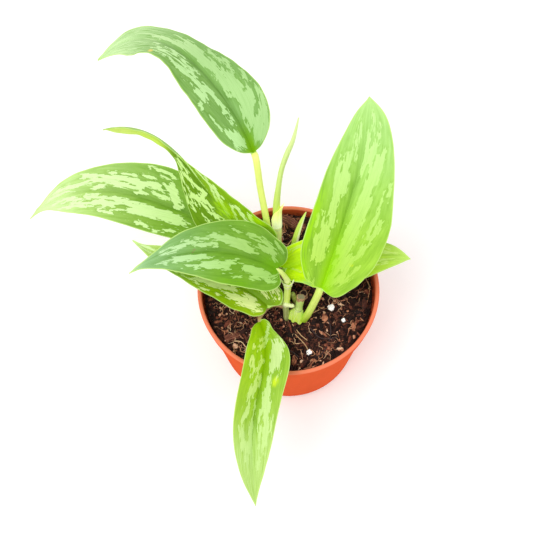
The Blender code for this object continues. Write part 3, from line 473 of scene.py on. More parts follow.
class Shade:
    """A value in a material's tree; arithmetic on it adds Math nodes."""

    def __init__(self, tree, socket=None):
        self.tree = tree
        self.socket = socket

    def node(self, kind, settings=None, values=None, output=0):
        """Add any other node: first its settings, then its sockets' values or links."""
        made = self.tree.nodes.new("ShaderNode" + kind)
        for name, setting in (settings or {}).items():
            setattr(made, name, setting)
        for name, value in (values or {}).items():
            if isinstance(value, Shade):
                self.tree.links.new(value.socket, made.inputs[name])
            else:
                made.inputs[name].default_value = value
        return Shade(self.tree, made.outputs[output])

    def calc(self, operation, *values):
        return self.node("Math", {"operation": operation}, dict(enumerate(values)))

    def __add__(self, other):
        return self.calc("ADD", self, other)

    def __sub__(self, other):
        return self.calc("SUBTRACT", self, other)

    def __rsub__(self, other):
        return self.calc("SUBTRACT", other, self)

    def __mul__(self, other):
        return self.calc("MULTIPLY", self, other)

    def __abs__(self):
        return self.calc("ABSOLUTE", self)

    def larger(self, other):
        return self.calc("MAXIMUM", self, other)

    def smooth(self, low, high):
        """Rise smoothly from 0 at low to 1 at high."""
        values = {"Value": self, "From Min": low, "From Max": high}
        return self.node("MapRange", {"interpolation_type": "SMOOTHSTEP"}, values)

    def blend(self, factor, under, over):
        """Mix two colours."""
        values = {0: factor, 6: linear(under), 7: linear(over)}
        return self.node("Mix", {"data_type": "RGBA"}, values, 2)

    def tint(self, factor, colour, gains):
        """Multiply a colour by gains for red, green and blue, as far as the factor says."""
        settings = {"data_type": "RGBA", "blend_type": "MULTIPLY"}
        return self.node("Mix", settings, {0: factor, 6: colour, 7: (*gains, 1.0)}, 2)

    def ramp(self, factor, *stops):
        """Read a colour between stops of (place, colour), in rising order."""
        made = self.node("ValToRGB", None, {0: factor})
        elements = made.socket.node.color_ramp.elements
        for place, _ in stops[1:-1]:
            elements.new(place)
        for element, (place, colour) in zip(elements, stops):
            element.position = place
            element.color = linear(colour)
        return made

    def stretch(self, vector, *scale):
        return self.node("Mapping", None, {"Vector": vector, "Scale": scale})

    def noise(self, vector, scale, detail=2.0, roughness=0.5):
        values = {"Vector": vector, "Scale": scale, "Detail": detail, "Roughness": roughness}
        return self.node("TexNoise", None, values)

    def streaks(self, layout, along, across, detail=2.0, roughness=0.5, scale=1.0):
        """Noise drawn out along a layout, by its grains a unit along and across."""
        return self.noise(self.stretch(layout, along, across, 1.0), scale, detail, roughness)

    def cells(self, layout, along, across):
        """One random value for each block of an uneven pavement."""
        settings = {"voronoi_dimensions": "2D", "distance": "CHEBYCHEV"}
        values = {"Vector": self.stretch(layout, along, across, 1.0), "Scale": 1.0}
        return self.node("TexVoronoi", settings, values, "Color")

    def place(self):
        return self.node("TexCoord", output="Object")

    def height(self):
        """Millimetres above the floor."""
        return self.node("SeparateXYZ", None, {0: self.place()}, "Z") * (1.0 / MM)

    def layout(self, name="UVMap"):
        return self.node("UVMap", {"uv_map": name})

    def tag(self, name):
        return self.node("Attribute", {"attribute_name": name}, output="Fac")

    def relief(self, height, depth, strength):
        """Raised and sunken surface: depth in metres for a height of 0 to 1."""
        return self.node("Bump", None, {"Height": height, "Distance": depth, "Strength": strength})


def linear(colour):
    """A colour for a socket: three display values of 0..255 become linear, the rest stays."""
    if isinstance(colour, Shade) or len(colour) == 4:
        return colour
    return (*(((c / 255 + 0.055) / 1.055) ** 2.4 if c > 10 else c / 255 / 12.92 for c in colour), 1.0)


def tinted(colour, gain):
    return (*(min(c * gain, 1.0) for c in linear(colour)[:3]), 1.0)


def new_finish(name):
    material = bpy.data.materials.new(name)
    material.use_nodes = True
    return material, Shade(material.node_tree)


def feed(shade, **sockets):
    """Set or link sockets of the Principled shader, such as Base_Color=..."""
    shader = shade.tree.nodes["Principled BSDF"]
    for name, value in sockets.items():
        target = shader.inputs[name.replace("_", " ")]
        if isinstance(value, Shade):
            shade.tree.links.new(value.socket, target)
        else:
            target.default_value = value


# --- modelling helpers ----------------------------------------------------------------

def select_only(*pieces):
    bpy.ops.object.select_all(action="DESELECT")
    for piece in pieces:
        piece.select_set(True)
    bpy.context.view_layer.objects.active = pieces[0]


def named(name):
    """Name the newest piece and its mesh."""
    piece = bpy.context.object
    piece.name = name
    piece.data.name = name
    return piece


def points_of(mesh):
    flat = np.empty(len(mesh.vertices) * 3)
    mesh.vertices.foreach_get("co", flat)
    return flat.reshape(-1, 3)


def lay(piece, points):
    """Move the mesh's points to these places in millimetres."""
    piece.data.vertices.foreach_set("co", (np.asarray(points, float) * MM).ravel())
    piece.data.update()


def tag_points(piece, name, values):
    """Store a value for each point, or one for all, where a finish can read it."""
    mesh = piece.data
    layer = mesh.attributes.get(name) or mesh.attributes.new(name, "FLOAT", "POINT")
    layer.data.foreach_set("value", np.broadcast_to(np.float32(values), len(mesh.vertices)).copy())


def modify(piece, kind, **settings):
    """Add a modifier and apply it."""
    select_only(piece)
    modifier = piece.modifiers.new(kind.title(), kind)
    for name, setting in settings.items():
        setattr(modifier, name, setting)
    bpy.ops.object.modifier_apply(modifier=modifier.name)


def close_seams(piece, outward=True):
    """Merge seams and poles, and turn the faces of a closed piece outward."""
    select_only(piece)
    bpy.ops.object.mode_set(mode="EDIT")
    bpy.ops.mesh.select_all(action="SELECT")
    bpy.ops.mesh.remove_doubles(threshold=SAME_POINT)
    bpy.ops.mesh.dissolve_degenerate(threshold=SAME_POINT)
    if outward:
        bpy.ops.mesh.normals_make_consistent(inside=False)
    bpy.ops.object.mode_set(mode="OBJECT")


def smooth_faces(piece, degrees=60):
    select_only(piece)
    bpy.ops.object.shade_smooth_by_angle(angle=math.radians(degrees))


def thicken(piece, wall):
    """Give a sheet its wall in millimetres, half to each side."""
    modify(piece, "SOLIDIFY", thickness=wall * MM, offset=0.0)
    smooth_faces(piece)


def grid(name, rows, columns):
    """Add a grid, and read u, 0..1 along it, and v, -1..1 across it, at each of its points."""
    bpy.ops.object.select_all(action="DESELECT")
    bpy.ops.mesh.primitive_grid_add(x_subdivisions=columns, y_subdivisions=rows, size=2.0)
    piece = named(name)
    flat = points_of(piece.data)
    return piece, (flat[:, 1] + 1) / 2, flat[:, 0]


def coat(piece, *materials):
    piece.data.materials.clear()
    for material in materials:
        piece.data.materials.append(material)


def settle(piece, slot, *nodes, finish=None):
    """Fix a finished piece to the plant's body, in place of its plain nodes."""
    if finish:
        coat(piece, finish)
    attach(piece, "root")
    if nodes:
        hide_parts(*nodes)


# --- smooth curves --------------------------------------------------------------------

def smooth_path(points, count):
    """Centripetal spline through the points, read at even distances along it."""
    inner = np.asarray(points, float)
    chain = np.vstack([2 * inner[0] - inner[1], inner, 2 * inner[-1] - inner[-2]])
    steps = np.linalg.norm(np.diff(chain[:, :3], axis=0), axis=1) ** 0.5
    knots = np.concatenate([[0.0], np.cumsum(steps)])
    dense = []
    for i in range(1, len(chain) - 2):
        p0, p1, p2, p3 = chain[i - 1:i + 3]
        k0, k1, k2, k3 = knots[i - 1:i + 3]
        for t in np.linspace(k1, k2, 24, endpoint=False):
            a1 = (k1 - t) / (k1 - k0) * p0 + (t - k0) / (k1 - k0) * p1
            a2 = (k2 - t) / (k2 - k1) * p1 + (t - k1) / (k2 - k1) * p2
            a3 = (k3 - t) / (k3 - k2) * p2 + (t - k2) / (k3 - k2) * p3
            b1 = (k2 - t) / (k2 - k0) * a1 + (t - k0) / (k2 - k0) * a2
            b2 = (k3 - t) / (k3 - k1) * a2 + (t - k1) / (k3 - k1) * a3
            dense.append((k2 - t) / (k2 - k1) * b1 + (t - k1) / (k2 - k1) * b2)
    dense.append(inner[-1])
    dense = np.array(dense)
    travel = travel_along(dense)
    even = np.linspace(0.0, travel[-1], count)
    return np.stack([np.interp(even, travel, column) for column in dense.T], axis=-1)


def travel_along(path):
    """Distance from the start to each point of a path."""
    steps = np.linalg.norm(np.diff(path[:, :3], axis=0), axis=1)
    return np.concatenate([[0.0], np.cumsum(steps)])


def smooth_value(values, where):
    """A smooth curve through evenly spaced values, read at 0..1 along it."""
    values = np.asarray(values, float)
    last = len(values) - 1
    place = np.clip(np.asarray(where, float), 0.0, 1.0) * last
    i = np.clip(np.floor(place).astype(int), 0, last - 1)
    f = place - i
    ends = np.concatenate([[2 * values[0] - values[1]], values, [2 * values[-1] - values[-2]]])
    a, b, c, d = ends[i], ends[i + 1], ends[i + 2], ends[i + 3]
    return 0.5 * (2 * b + (c - a) * f + (2 * a - 5 * b + 4 * c - d) * f ** 2
                  + (3 * b - a - 3 * c + d) * f ** 3)


def at_rows(rows, where):
    """Read an array of rows at 0..1 along it."""
    steps = np.linspace(0.0, 1.0, len(rows))
    return np.stack([np.interp(where, steps, column) for column in rows.T], axis=-1)


def unit(vectors):
    return vectors / np.linalg.norm(vectors, axis=-1, keepdims=True)


def round_about(angle):
    """Level directions at these angles from +X."""
    return np.stack([np.cos(angle), np.sin(angle), np.zeros(len(angle))], -1)


# --- leaf blades ----------------------------------------------------------------------

def midrib_frames(leaf, count=61):
    """Points along the midrib with the directions along, left of and above the blade."""
    t = np.linspace(0.0, 1.0, count)
    heading, rise, roll = (np.radians(smooth_value(leaf[key], t)) for key in ("heading", "rise", "roll"))
    along = np.stack([np.cos(rise) * np.cos(heading), np.cos(rise) * np.sin(heading), np.sin(rise)], -1)
    level = np.stack([-np.sin(heading), np.cos(heading), np.zeros(count)], -1)
    over = np.cross(along, level)
    step = leaf["length"] / (count - 1)
    points = np.vstack([np.zeros(3), np.cumsum((along[1:] + along[:-1]) / 2 * step, axis=0)])
    points += np.asarray(leaf["base"], float)
    cosine, sine = np.cos(roll)[:, None], np.sin(roll)[:, None]
    return points, along, cosine * level + sine * over, cosine * over - sine * level


def half_outline(leaf, half):
    """Edge of the left or right half of the flat blade: distance along the midrib and out from it."""
    widths, length = leaf[half], leaf["length"]
    i = 0 if half == "left" else 1
    lobe, shoulder = leaf["lobes"][i], leaf["shoulders"][i]
    points = [(0, 0), (-lobe, 0.42 * widths[0]), (shoulder, 0.82 * widths[0])]
    points += [(station * length, width) for station, width in zip(STATIONS, widths)]
    points.append((length, 0))
    return smooth_path(points, BLADE_ROWS + 1)


class Blade:
    """Flat layout of one blade: for each grid point, millimetres along and out, and its side."""

    def __init__(self, leaf, u, v):
        self.leaf = leaf
        self.side = np.where(v > 0, -1.0, 1.0)
        self.share = np.abs(v)
        length = leaf["length"]
        left, right = half_outline(leaf, "left"), half_outline(leaf, "right")
        lag = sum(edge[:, 0] - 0.6 * edge[:, 1] for edge in (left, right)) / 2
        rows = np.linspace(0.0, 1.0, BLADE_ROWS + 1)
        rib = np.maximum(lag, length * RIB_PACE * rows)
        rib[0], rib[-1] = 0.0, length
        start = np.interp(u, rows, rib)
        edge = np.where((self.side > 0)[:, None], at_rows(left, u), at_rows(right, u))
        self.along = start + self.share * (edge[:, 0] - start)
        self.out = self.share * edge[:, 1]
        self.rim = (1.0 - self.share) * edge[:, 1]
        self.fraction = np.clip(self.along / length, 0.0, 1.0)

    def lift(self, plant):
        """Fine shape of the upper side: midrib channel, side veins and waving margin."""
        vein = self.along - VEIN_SLANT * self.out - VEIN_CURVE * self.out ** 2
        inner = np.clip(self.out / 4.0, 0, 1) * np.clip(self.rim / 5.0, 0, 1)
        swell = np.abs(np.sin(vein * math.pi / VEIN_SPACING + self.side)) ** 0.7
        channel = np.exp(-(self.out / 1.3) ** 2) * (1.0 - 0.75 * self.fraction)
        phase = sum(map(ord, str(self.leaf["base"]))) + 2.0 * self.side
        turn = 2 * math.pi
        wave = sum(
            height * np.sin(self.along * turn / span + phase) for span, height in MARGIN_WAVES)
        return (plant.quilting * inner * swell - plant.groove * channel
                + plant.margin_wave * wave * self.share ** 3) / MM

    def place(self, lift):
        """Points on the folded and arched blade, raised by lift millimetres."""
        point, forward, left, above = (at_rows(rows, self.fraction) for rows in midrib_frames(self.leaf))
        fold = np.radians(smooth_value(self.leaf["fold"], self.fraction))
        widest = max(*self.leaf["left"], *self.leaf["right"])
        level = self.side * self.out * np.cos(fold)
        rise = self.out * np.sin(fold) - BLADE_ARCH * self.out ** 2 / widest + lift
        behind = self.along - np.clip(self.along, 0, self.leaf["length"])
        return point + forward * behind[:, None] + left * level[:, None] + above * rise[:, None]

    def splash(self):
        """How deep inside a pale splash each point lies, in millimetres; outside is negative.

        Each stroke is a straight-edged patch, and depth grows slowly from its two ends, so
        that fine noise breaks the ends into long teeth and the sides into short ones.
        """
        depth = np.full(len(self.out), -SPLASH_REACH)
        spot = np.stack([self.along, self.side * self.out], -1)
        for along_a, out_a, along_b, out_b, width in self.leaf["splashes"]:
            start = np.array([along_a * self.leaf["length"], out_a])
            run = np.array([along_b * self.leaf["length"], out_b]) - start
            reach = np.linalg.norm(run)
            ahead = (spot - start) @ run / reach
            aside = np.abs((spot - start) @ np.array([-run[1], run[0]]) / reach)
            past = np.maximum(-ahead, ahead - reach)
            inside = np.minimum(abs(width) - aside, (abs(width) - past) * END_SLOPE)
            depth = np.maximum(depth, inside) if width > 0 else np.minimum(depth, -inside)
        return np.maximum(depth, -SPLASH_REACH)

    def spots(self):
        """How far inside a discoloured spot each point lies, from 0 at its edge to 1."""
        inside = np.zeros(len(self.out))
        for along, out, radius, stretch in self.leaf["spots"]:
            ahead = (self.along - along * self.leaf["length"]) / stretch
            distance = np.hypot(ahead, self.side * self.out - out) / radius
            inside = np.maximum(inside, 1.0 - distance)
        return inside


def lay_out_streaks(piece, blade, v):
    """A second UV map, centimetres along and across, whose lines follow the side veins."""
    mesh = piece.data
    corner = np.empty(len(mesh.loops), int)
    mesh.loops.foreach_get("vertex_index", corner)
    starts, totals = np.empty((2, len(mesh.polygons)), int)
    mesh.polygons.foreach_get("loop_start", starts)
    mesh.polygons.foreach_get("loop_total", totals)
    middle = np.add.reduceat(v[corner], starts) / totals
    side = np.repeat(np.where(middle > 0, -1.0, 1.0), totals)
    across = blade.share[corner] * HALF_LAYOUT - LAYOUT_SLANT * blade.along[corner]
    layout = np.stack([blade.along[corner], side * across + HALVES_APART * side], -1) / 10.0
    mesh.uv_layers.new(name="streaks").data.foreach_set("uv", layout.ravel())


class LeafPaint:
    """Colours of a blade's upper side, from its tags and from noise laid along its veins."""

    def __init__(self, shade, leaf):
        self.shade = shade
        self.leaf = leaf
        self.layout = shade.layout("streaks")
        self.along, self.rib, self.rim, self.half = map(shade.tag, ("along", "rib", "rim", "half"))
        self.fray = shade.streaks(self.layout, 1.5, 10.0, 3.0, 0.6)
        self.hairs = shade.streaks(self.layout, 0.5, 14.0, 2.0, 0.55)
        self.strands = shade.streaks(self.layout, 0.5, 6.0, 3.0, 0.6)
        self.grain = shade.streaks(self.layout, 5.0, 9.0, 2.0, 0.6, 3.0)
        self.age = self.along.smooth(leaf["fade_from"], leaf["fade_to"])
        # The right half near the base, where its own tint and its painted light are laid on.
        self.right = self.half * (1.0 - self.age)
        self.warmth = (1.0 - self.along.smooth(0.0, leaf["warm_reach"])) * (1.0 - self.rib.smooth(1.0, 9.0))
        cells, chips = shade.cells(self.layout, 2.6, 9.0), shade.cells(self.layout, 5.5, 19.0)
        edge = (self.fray - 0.5) * 1.9 + (cells - 0.5) * 2.1 + (chips - 0.5) * 0.6
        self.depth = shade.tag("splash") + edge
        self.splash = self.silvered()

    def silvered(self):
        """Where the blade is silver: its splashes, small flecks, and streaks toward the tip."""
        flecks = self.shade.streaks(self.layout, 2.4, 9.0).smooth(0.69, 0.71)
        flecks = flecks * self.rib.smooth(2.0, 4.0) * self.rim.smooth(1.5, 3.0)
        start, cover = self.leaf["tip_from"], self.leaf["tip_cover"]
        tip = self.along.smooth(start, min(start + 0.25, 1.0)) * self.hairs.smooth(cover, cover + 0.12)
        return self.depth.smooth(-0.04, 0.06).larger(flecks * 0.75).larger(tip * 0.9)

    def silver(self):
        tone = self.shade.blend(self.age, *self.leaf["silver"])
        # Right half: partly its own silver, partly painted light.
        tone = self.shade.tint(self.right, tone, self.leaf["right_silver_and_light"])
        tone = self.shade.tint(self.hairs.smooth(0.45, 0.75) * 0.8, tone, (0.82, 0.88, 0.78))
        return self.shade.blend(self.warmth * self.leaf["warm_silver"], tone, self.leaf["warm"])

    def green(self):
        """Green with light and dark clouds and strands, dark by the midrib and round splashes."""
        tone = self.shade.blend(self.age * self.age, *self.leaf["green"])
        # Right half: partly its own green, partly painted light.
        tone = self.shade.tint(self.right, tone, self.leaf["right_tint_and_light"])
        cloud = self.shade.streaks(self.layout, 0.6, 1.6)
        by_rib = (1.0 - self.rib.smooth(0.8, 3.0)) * (1.0 - self.along.smooth(0.55, 0.9))
        for factor, gains in (
                (cloud.smooth(0.28, 0.72), (1.18, 1.14, 1.20)),
                (1.0 - cloud.smooth(0.25, 0.45), (0.86, 0.92, 0.70)),
                (self.strands.smooth(0.50, 0.68), (1.16, 1.10, 1.30)),
                (1.0 - self.strands.smooth(0.32, 0.48), (0.84, 0.89, 0.72)),
                (by_rib, (0.80, 0.84, 0.72))):
            tone = self.shade.tint(factor, tone, gains)
        tone = self.shade.blend(self.warmth, tone, self.leaf["warm"])
        return self.shade.tint(self.depth.smooth(-1.3, -0.1) * 0.8, tone, (0.86, 0.90, 0.74))

    def skin(self, margin_colour):
        """Green and silver with the spots, the lime band and the line round the edge."""
        skin = self.shade.blend(self.splash, self.green(), self.silver())
        skin = self.shade.tint(self.grain.smooth(0.35, 0.7) * 0.5, skin, (0.88, 0.90, 0.84))
        if self.leaf["spots"]:
            spot = (self.shade.tag("spot") * (self.fray * 3.0 - 0.6)).smooth(0.05, 0.8) * 0.85
            skin = self.shade.blend(spot, skin, self.leaf["spot_colour"])
        if self.leaf["lime"]:
            start, stop, strength = self.leaf["lime"]
            band = self.along.smooth(start, start + 0.12) * (1.0 - self.along.smooth(stop - 0.2, stop))
            band = band * (1.0 - self.half) * (1.0 - self.rim.smooth(2.0, 8.0))
            band = band * self.strands.smooth(0.3, 0.55) * strength
            skin = self.shade.blend(band, skin, self.leaf["warm"])
        margin = (1.0 - self.rim.smooth(0.15, 0.75)) * 0.75
        return self.shade.blend(margin, skin, (*margin_colour, 1.0))


def upper_finish(name, leaf, plant):
    """Upper side: satin where it is silver, with fine raised veins."""
    material, shade = new_finish(name)
    paint = LeafPaint(shade, leaf)
    veins = shade.streaks(paint.layout, 0.8, 20.0, 1.0)
    bumps = shade.relief(veins * 0.5 + paint.grain * 0.5 + paint.splash * 0.12, 0.00018, 0.55)
    gloss = paint.grain * 0.10 + paint.splash * 0.05 + 0.40
    feed(shade, Base_Color=paint.skin(plant.margin_colour), Roughness=gloss, Normal=bumps,
         Specular_IOR_Level=0.15)
    return material


def under_finish(name):
    """Underside: paler and duller, with the splashes showing through faintly."""
    material, shade = new_finish(name)
    layout = shade.layout("streaks")
    fray = shade.streaks(layout, 1.1, 8.0, 3.0, 0.62)
    grain = shade.streaks(layout, 4.0, 9.0, 2.0, 0.6, 3.0)
    veins = shade.streaks(layout, 0.8, 12.0, 1.0)
    splash = (shade.tag("splash") + (fray - 0.5) * 4.2).smooth(-0.8, 0.8)
    skin = shade.blend(splash * 0.5, (150, 196, 112), (186, 220, 140))
    skin = shade.blend(grain.smooth(0.3, 0.7) * 0.2, skin, (128, 178, 92))
    skin = shade.blend((1.0 - shade.tag("rib").smooth(0.6, 1.8)) * 0.7, skin, (196, 226, 120))
    feed(shade, Base_Color=skin, Roughness=grain * 0.12 + 0.46, Normal=shade.relief(veins, 0.0003, 0.6))
    return material


def make_blade(name, leaf, plant):
    """Closed blade, thickest along its midrib."""
    piece, u, v = grid(name, BLADE_ROWS, BLADE_COLUMNS)
    blade = Blade(leaf, u, v)
    lay(piece, blade.place(blade.lift(plant)))
    tags = {
        "along": blade.fraction, "rib": blade.out, "rim": blade.rim, "splash": blade.splash(),
        "half": 0.5 - 0.5 * np.clip(blade.side * blade.out / 1.5, -1, 1), "spot": blade.spots(),
    }
    for tag, values in tags.items():
        tag_points(piece, tag, values)
    lay_out_streaks(piece, blade, v)
    depth = piece.vertex_groups.new(name="depth")
    rib = 0.70 * np.exp(-(blade.out / 1.5) ** 2) * (1.0 - 0.75 * blade.fraction)
    for i, weight in enumerate(0.30 - 0.12 * blade.share + rib):
        depth.add([i], float(weight), "REPLACE")
    coat(piece, upper_finish(name + "_upper", leaf, plant), under_finish(name + "_under"))
    close_seams(piece, outward=False)
    modify(piece, "SOLIDIFY", thickness=plant.rib_depth, offset=-1.0, vertex_group="depth",
           material_offset=1, use_quality_normals=True)
    smooth_faces(piece, 50)
    return piece


class POTHOS_OT_leaves(bpy.types.Operator):
    """Make the eight splashed leaf blades"""
    bl_idname = "pothos.leaves"
    bl_label = "Leaf Blades"

    def execute(self, context):
        for name, leaf in LEAVES.items():
            node = name + "_blade"
            blade = make_blade(node, {**LEAF_DEFAULTS, **leaf}, context.scene.pothos_plant)
            settle(blade, "leaf_blade", node)
        return {"FINISHED"}


# --- stalks and stems -----------------------------------------------------------------

class Tube:
    """Round tube along a route of (x, y, z, radius), with a frame carried from its start."""

    def __init__(self, route, toward, count=80):
        self.path = smooth_path(route, count)
        self.travel = travel_along(self.path)
        ahead = unit(np.gradient(self.path[:, :3], axis=0))
        facing = np.asarray(toward, float)
        faces = []
        for direction in ahead:
            facing = facing - direction * (facing @ direction)
            facing = facing / np.linalg.norm(facing)
            faces.append(facing)
        self.facing = np.array(faces)
        self.across = np.cross(ahead, self.facing)

    def place(self, u, angle, swell):
        """Points at 0..1 along and an angle from the facing side; swell scales the radius."""
        path, facing, across = (at_rows(rows, u) for rows in (self.path, self.facing, self.across))
        reach = (path[:, 3] * swell)[:, None]
        return path[:, :3] + reach * (facing * np.cos(angle)[:, None] + across * np.sin(angle)[:, None])

    def caps(self, u, start=True):
        """Scale that rounds the radius off to nothing at the end, and at the start."""
        at = u * self.travel[-1]
        scale = np.ones(len(u))
        ends = [(at, self.path[0, 3])] if start else []
        for left, radius in ends + [(self.travel[-1] - at, self.path[-1, 3])]:
            inward = np.clip(np.round(left, 4) / max(radius * 0.7, 0.3), 0, 1)
            scale *= np.sqrt(1.0 - (1.0 - inward) ** 2)
        return scale


def make_tube(name, route, toward, rows=60, sides=20, channel=0.0, rings=(), ribs=0.0):
    """Closed stem: a channel down its facing side, fine ribs, and swollen rings at its nodes."""
    tube = Tube(route, toward)
    piece, u, v = grid(name, rows, sides)
    angle = v * math.pi
    caps = tube.caps(u)
    swell = caps * (1.0 - channel * np.exp(-(angle / 0.45) ** 2) + ribs * np.cos(7 * angle))
    height = at_rows(tube.path, u)[:, 2]
    for level, swelling, width in rings:
        swell += caps * swelling / 2.5 * np.exp(-((height - level) / width) ** 2)
    lay(piece, tube.place(u, angle, swell))
    close_seams(piece)
    smooth_faces(piece)
    return piece


def stalk_finish(name, low, high, streak, low_at, high_at, rings=(), glow=0.0):
    """Leaf stalk or stem: its colour changes with height, with fine stripes along it; glow makes it give
    off its own colour as painted light.
    """
    material, shade = new_finish(name)
    height = shade.height()
    stripes = shade.streaks(shade.layout(), 26.0, 1.6, 2.0, 0.55)
    mottle = shade.noise(shade.place(), 260.0, 3.0, 0.6)
    skin = shade.blend(height.smooth(low_at, high_at), low, high)
    skin = shade.blend(stripes.smooth(0.42, 0.7) * 0.45, skin, streak)
    skin = shade.blend(mottle.smooth(0.45, 0.75) * 0.18, skin, tinted(low, 0.7))
    for level, _, width in rings:
        ring = 1.0 - abs(height - level).smooth(width * 0.35, width * 1.1)
        skin = shade.blend(ring * 0.75, skin, RING_COLOUR)
    bumps = shade.relief(stripes * 0.6 + mottle * 0.4, 0.0002, 0.6)
    feed(shade, Base_Color=skin, Roughness=mottle * 0.15 + 0.36, Normal=bumps, Coat_Weight=0.05,
         Emission_Color=skin, Emission_Strength=glow)
    return material


def make_petiole(name, leaf):
    """Stalk from its stem to under the blade, where it runs on into the midrib and thins out."""
    points, start, end, approach = PETIOLES[name]
    base, along, _, above = [rows[0] for rows in midrib_frames(leaf)]
    chain = [np.array(point, float) for point in points]
    for ahead, below in ((-approach, end - 0.2), (0.5, end + 0.3), (4.0, 0.6 * end + 0.7), (7.0, 1.1)):
        chain.append(base + along * ahead - above * below)
    flare = np.linspace(1.0, 0.0, len(chain) - 2) ** 2
    radii = [*(end + (start - end) * flare), 0.5 * end, 0.1 * end]
    route = [(*point, radius) for point, radius in zip(chain, radii)]
    return make_tube(name + "_stalk", route, above, rows=70, channel=0.16, ribs=0.012)


def make_stub(name, route, profile, seed, torn):
    """Broken-off end: its wall runs up to a torn rim and inward from there."""
    tube = Tube(route, FRONT)
    piece, u, v = grid(name, 42, 28)
    steps = np.linspace(0.0, 1.0, len(profile))
    share, reach = (np.interp(u, steps, column) for column in zip(*profile))
    angle = v * math.pi
    round_rim = round_about(angle) * 2.4 + (0, 0, seed)
    rag = np.array([noise.noise(spot) for spot in round_rim])
    near_rim = np.clip((share - 0.6) * 2.5, 0, 1) * np.clip(reach * 3.0, 0, 1)
    share = share * (1.0 - torn * np.abs(rag) * near_rim)
    lay(piece, tube.place(share, angle, reach * (1.0 + torn * rag)))
    tag_points(piece, "inside", np.clip((u - 0.55) * 6, 0, 1) + 0.3 * rag)
    close_seams(piece)
    smooth_faces(piece, 50)
    return piece


def torn_finish(name, wall, heart):
    """Dead tissue: flecked with tan, and another colour inside the rim."""
    material, shade = new_finish(name)
    fleck = shade.noise(shade.place(), 900.0, 3.0, 0.6)
    skin = shade.blend(fleck.smooth(0.35, 0.65), wall, (206, 162, 120))
    skin = shade.blend(shade.tag("inside").smooth(0.25, 0.9), skin, heart)
    feed(shade, Base_Color=skin, Roughness=0.8, Normal=shade.relief(fleck, 0.0004, 0.8))
    return material


class POTHOS_OT_stalks(bpy.types.Operator):
    """Make the stalk of each leaf, channelled on its upper side"""
    bl_idname = "pothos.stalks"
    bl_label = "Leaf Stalks"

    def execute(self, context):
        finishes = {
            name: stalk_finish("stalk_" + name, *tones) for name, tones in STALK_TONES.items()}
        for name, leaf in LEAVES.items():
            finish = finishes[STALKS_OF.get(name, "green")]
            settle(make_petiole(name, leaf), "petiole", name + "_petiole", finish=finish)
        return {"FINISHED"}


class POTHOS_OT_stems(bpy.types.Operator):
    """Make the stems with their rings, the air root, and the dead stubs"""
    bl_idname = "pothos.stems"
    bl_label = "Stems"

    def execute(self, context):
        for name, route in STEMS.items():
            x, y, z, radius = route[0]
            buried = [(x, y, z - share * ROOT_DEPTH, radius) for share in (1.0, 0.4)]
            stem = make_tube(name + "_skin", buried + route, FRONT, rows=110, sides=24,
                             rings=RINGS[name], ribs=0.012)
            finish = stalk_finish(name + "_finish", *STEM_TONES[name], RINGS[name])
            settle(stem, "stem", name, finish=finish)
        root = make_tube("air_root", AERIAL_ROOT, UP, rows=24, sides=16)
        finish = stalk_finish("air_root_finish", *AERIAL_ROOT_TONES)
        settle(root, "petiole", "aerial_root", finish=finish)
        stalk = make_tube("dried_stalk", DRIED_PETIOLE, FRONT, rows=40, sides=18, ribs=0.06)
        finish = stalk_finish("dried_finish", *DRIED_TONES)
        settle(stalk, "dried_stem", "dried_petiole", finish=finish)
        stump = make_stub("stump_shell", DEAD_STUMP, HOLLOW, seed=4.0, torn=0.10)
        finish = torn_finish("stump_finish", wall=(110, 70, 48), heart=(52, 30, 22))
        settle(stump, "dried_stem", "dead_stump", finish=finish)
        end = make_stub("old_stem_end", OLD_STEM_END, SNAPPED, seed=9.0, torn=0.30)
        finish = torn_finish("snapped_finish", wall=(150, 120, 80), heart=(150, 142, 106))
        settle(end, "dried_stem", finish=finish)
        return {"FINISHED"}


# --- young growth ---------------------------------------------------------------------

def make_sleeve(name, axis, start, stop, tip_angle, wall):
    """Pointed sleeve round an axis of (x, y, z, radius): open down one side, narrowing to one tip."""
    tube = Tube(axis, SIDE, 60)
    piece, u, v = grid(name, 40, 28)
    angle = start + (stop - start) * (v + 1) / 2
    taper = np.maximum(1.0 - u ** 2.2, 0.0)
    angle = np.radians(tip_angle + (angle - tip_angle) * taper)
    path = at_rows(tube.path, u)
    reach = path[:, 3:4] * (1.0 + 0.05 * np.cos(9 * angle))[:, None]
    lay(piece, path[:, :3] + reach * round_about(angle))
    close_seams(piece)
    thicken(piece, wall)
    return piece


def make_collar(name, axis, start, stop, wall):
    """Papery collar round an axis, open behind, with its foot torn and its left edge flared."""
    tube = Tube(axis, SIDE, 60)
    piece, u, v = grid(name, 36, 64)
    across = (v + 1) / 2
    angle = np.radians(start + (stop - start) * across)
    torn = 0.13 + 0.13 * np.sin(19 * across) * np.cos(5 * across)
    path = at_rows(tube.path, u * (1.0 - torn) + torn)
    flare = 0.75 * np.exp(-(across / 0.2) ** 2) + 0.4 * np.exp(-((1.0 - across) / 0.3) ** 2)
    flare = 1.0 + flare * (1.0 - u) ** 1.3 + 0.03 * np.sin(34 * across)
    lay(piece, path[:, :3] + path[:, 3:4] * flare[:, None] * round_about(angle))
    thicken(piece, wall)
    return piece


def make_scroll(name, route, turns, wall, toward):
    """Blade still rolled up: a sheet wound round its own axis, with its free edge outside."""
    tube = Tube(route, toward)
    piece, u, v = grid(name, 90, 60)
    wound = (v + 1) / 2
    tight = 0.45 + 0.55 * wound
    lay(piece, tube.place(u, wound * turns * 2 * math.pi, tight * tube.caps(u, start=False)))
    close_seams(piece, outward=False)
    thicken(piece, wall)
    return piece


